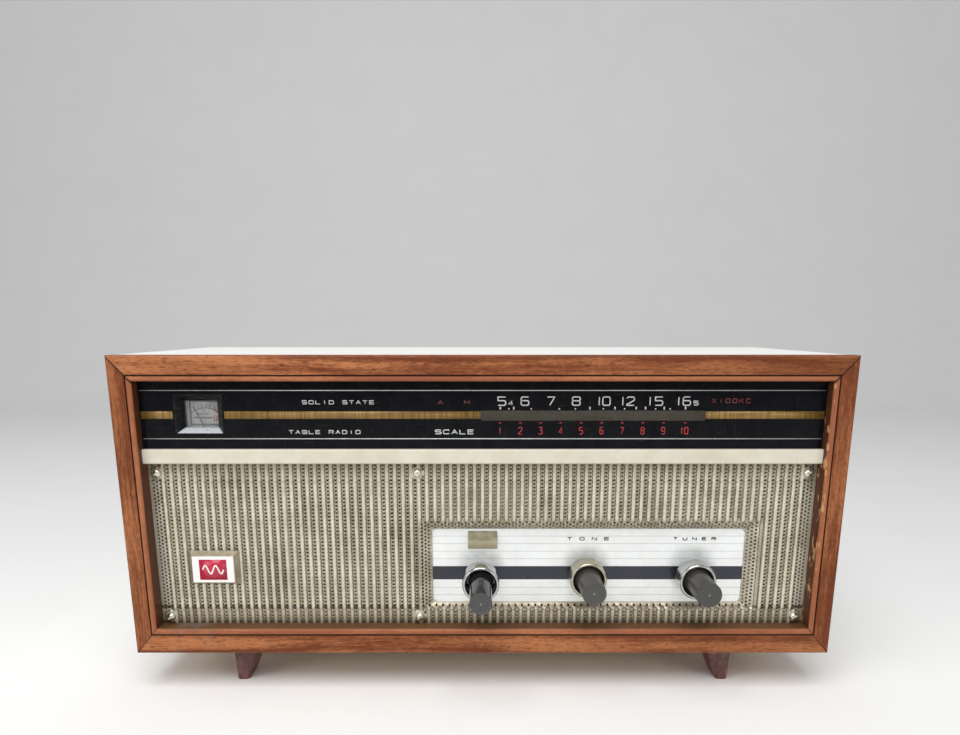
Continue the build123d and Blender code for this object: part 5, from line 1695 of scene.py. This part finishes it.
plait = noise(tree, stretched(tree, place, (2200, 2200, 2200)), 1.0, 2.0)
tree.links.new(
    blend(tree, plait, (0.5, 0.42, 0.28), (0.76, 0.68, 0.5)), shader.inputs["Base Color"]
)
dress(cord_finish, "dial_cord")
black_moulding = worn(
    "black_moulding",
    (0.045, 0.045, 0.048),
    (0.03, 0.03, 0.032),
    0.5,
    scale=2.0,
    grime=0.35,
    soil=(0.13, 0.11, 0.09),
)
dress(black_moulding, "dial_drum", "battery_box")
dress(
    worn(
        "capacitor_aluminium",
        (0.72, 0.72, 0.72),
        (0.58, 0.58, 0.57),
        0.4,
        0.95,
        2.5,
        scuffs=0.4,
        grime=0.25,
    ),
    "tuning_capacitor",
    "tuning_rotor",
)

# ---------------------------------------------------------------- chassis and circuit
# A bent zinc-plated chassis, a phenolic board with tin cans, blue-sleeved electrolytics and
# varnished transformers, and a ferrite rod with its coil above them.
dress(bare_steel, "chassis")
dress(
    worn(
        "phenolic_board",
        (0.46, 0.25, 0.10),
        (0.36, 0.18, 0.07),
        0.42,
        scale=2.0,
        grime=0.25,
        Coat_Weight=0.2,
    ),
    "circuit_board",
)
dress(
    worn("tin_can", (0.7, 0.7, 0.68), (0.56, 0.56, 0.53), 0.3, 1.0, 4.0, scuffs=0.4, grime=0.3),
    "transistors",
    "if_cans",
)
dress(
    worn("blue_sleeve", (0.05, 0.11, 0.32), (0.035, 0.08, 0.24), 0.35, scale=4.0), "electrolytics"
)
dress(
    worn("varnished_core", (0.11, 0.085, 0.06), (0.2, 0.13, 0.07), 0.45, scale=4.0, grime=0.5),
    "audio_transformers",
)
dress(
    worn("sintered_ferrite", (0.05, 0.05, 0.053), (0.08, 0.08, 0.082), 0.6, scale=3.0),
    "ferrite_rod",
)
coil_finish, tree, shader = shade("wound_wire", roughness=0.35, metallic=0.6)
place = add(tree, "ShaderNodeTexCoord").outputs["Object"]
turns = add(
    tree,
    "ShaderNodeTexWave",
    {"Vector": place, "Scale": 320.0, "Distortion": 0.4},
    bands_direction="X",
).outputs[1]
tree.links.new(
    blend(tree, turns, (0.22, 0.08, 0.03), (0.66, 0.3, 0.12)), shader.inputs["Base Color"]
)
tree.links.new(
    add(tree, "ShaderNodeBump", {"Strength": 0.5, "Distance": 0.0002, "Height": turns}).outputs[0],
    shader.inputs["Normal"],
)
dress(coil_finish, "antenna_coil")

# ---------------------------------------------------------------- speaker and batteries
# A grey pressed basket, a black paper cone, a plated magnet pot, and four cells in a tray.
dress(
    worn("basket_paint", (0.24, 0.25, 0.25), (0.18, 0.19, 0.19), 0.45, scale=2.0, scuffs=0.3),
    "speaker_basket",
)
paper_cone, tree, shader = shade("pressed_paper", roughness=0.9)
place = add(tree, "ShaderNodeTexCoord").outputs["Object"]
fuzz = noise(tree, place, 900.0, 5.0, 0.7)
tree.links.new(
    blend(tree, fuzz, (0.02, 0.019, 0.018), (0.055, 0.05, 0.045)), shader.inputs["Base Color"]
)
dress(paper_cone, "speaker_cone")
dress(
    worn("magnet_plating", (0.42, 0.42, 0.42), (0.3, 0.3, 0.3), 0.35, 0.9, 2.0, grime=0.35),
    "speaker_magnet",
)
dress(
    worn("printed_jacket", (0.52, 0.09, 0.05), (0.42, 0.07, 0.04), 0.3, 0.2, 3.0, scuffs=0.4),
    "cells",
)
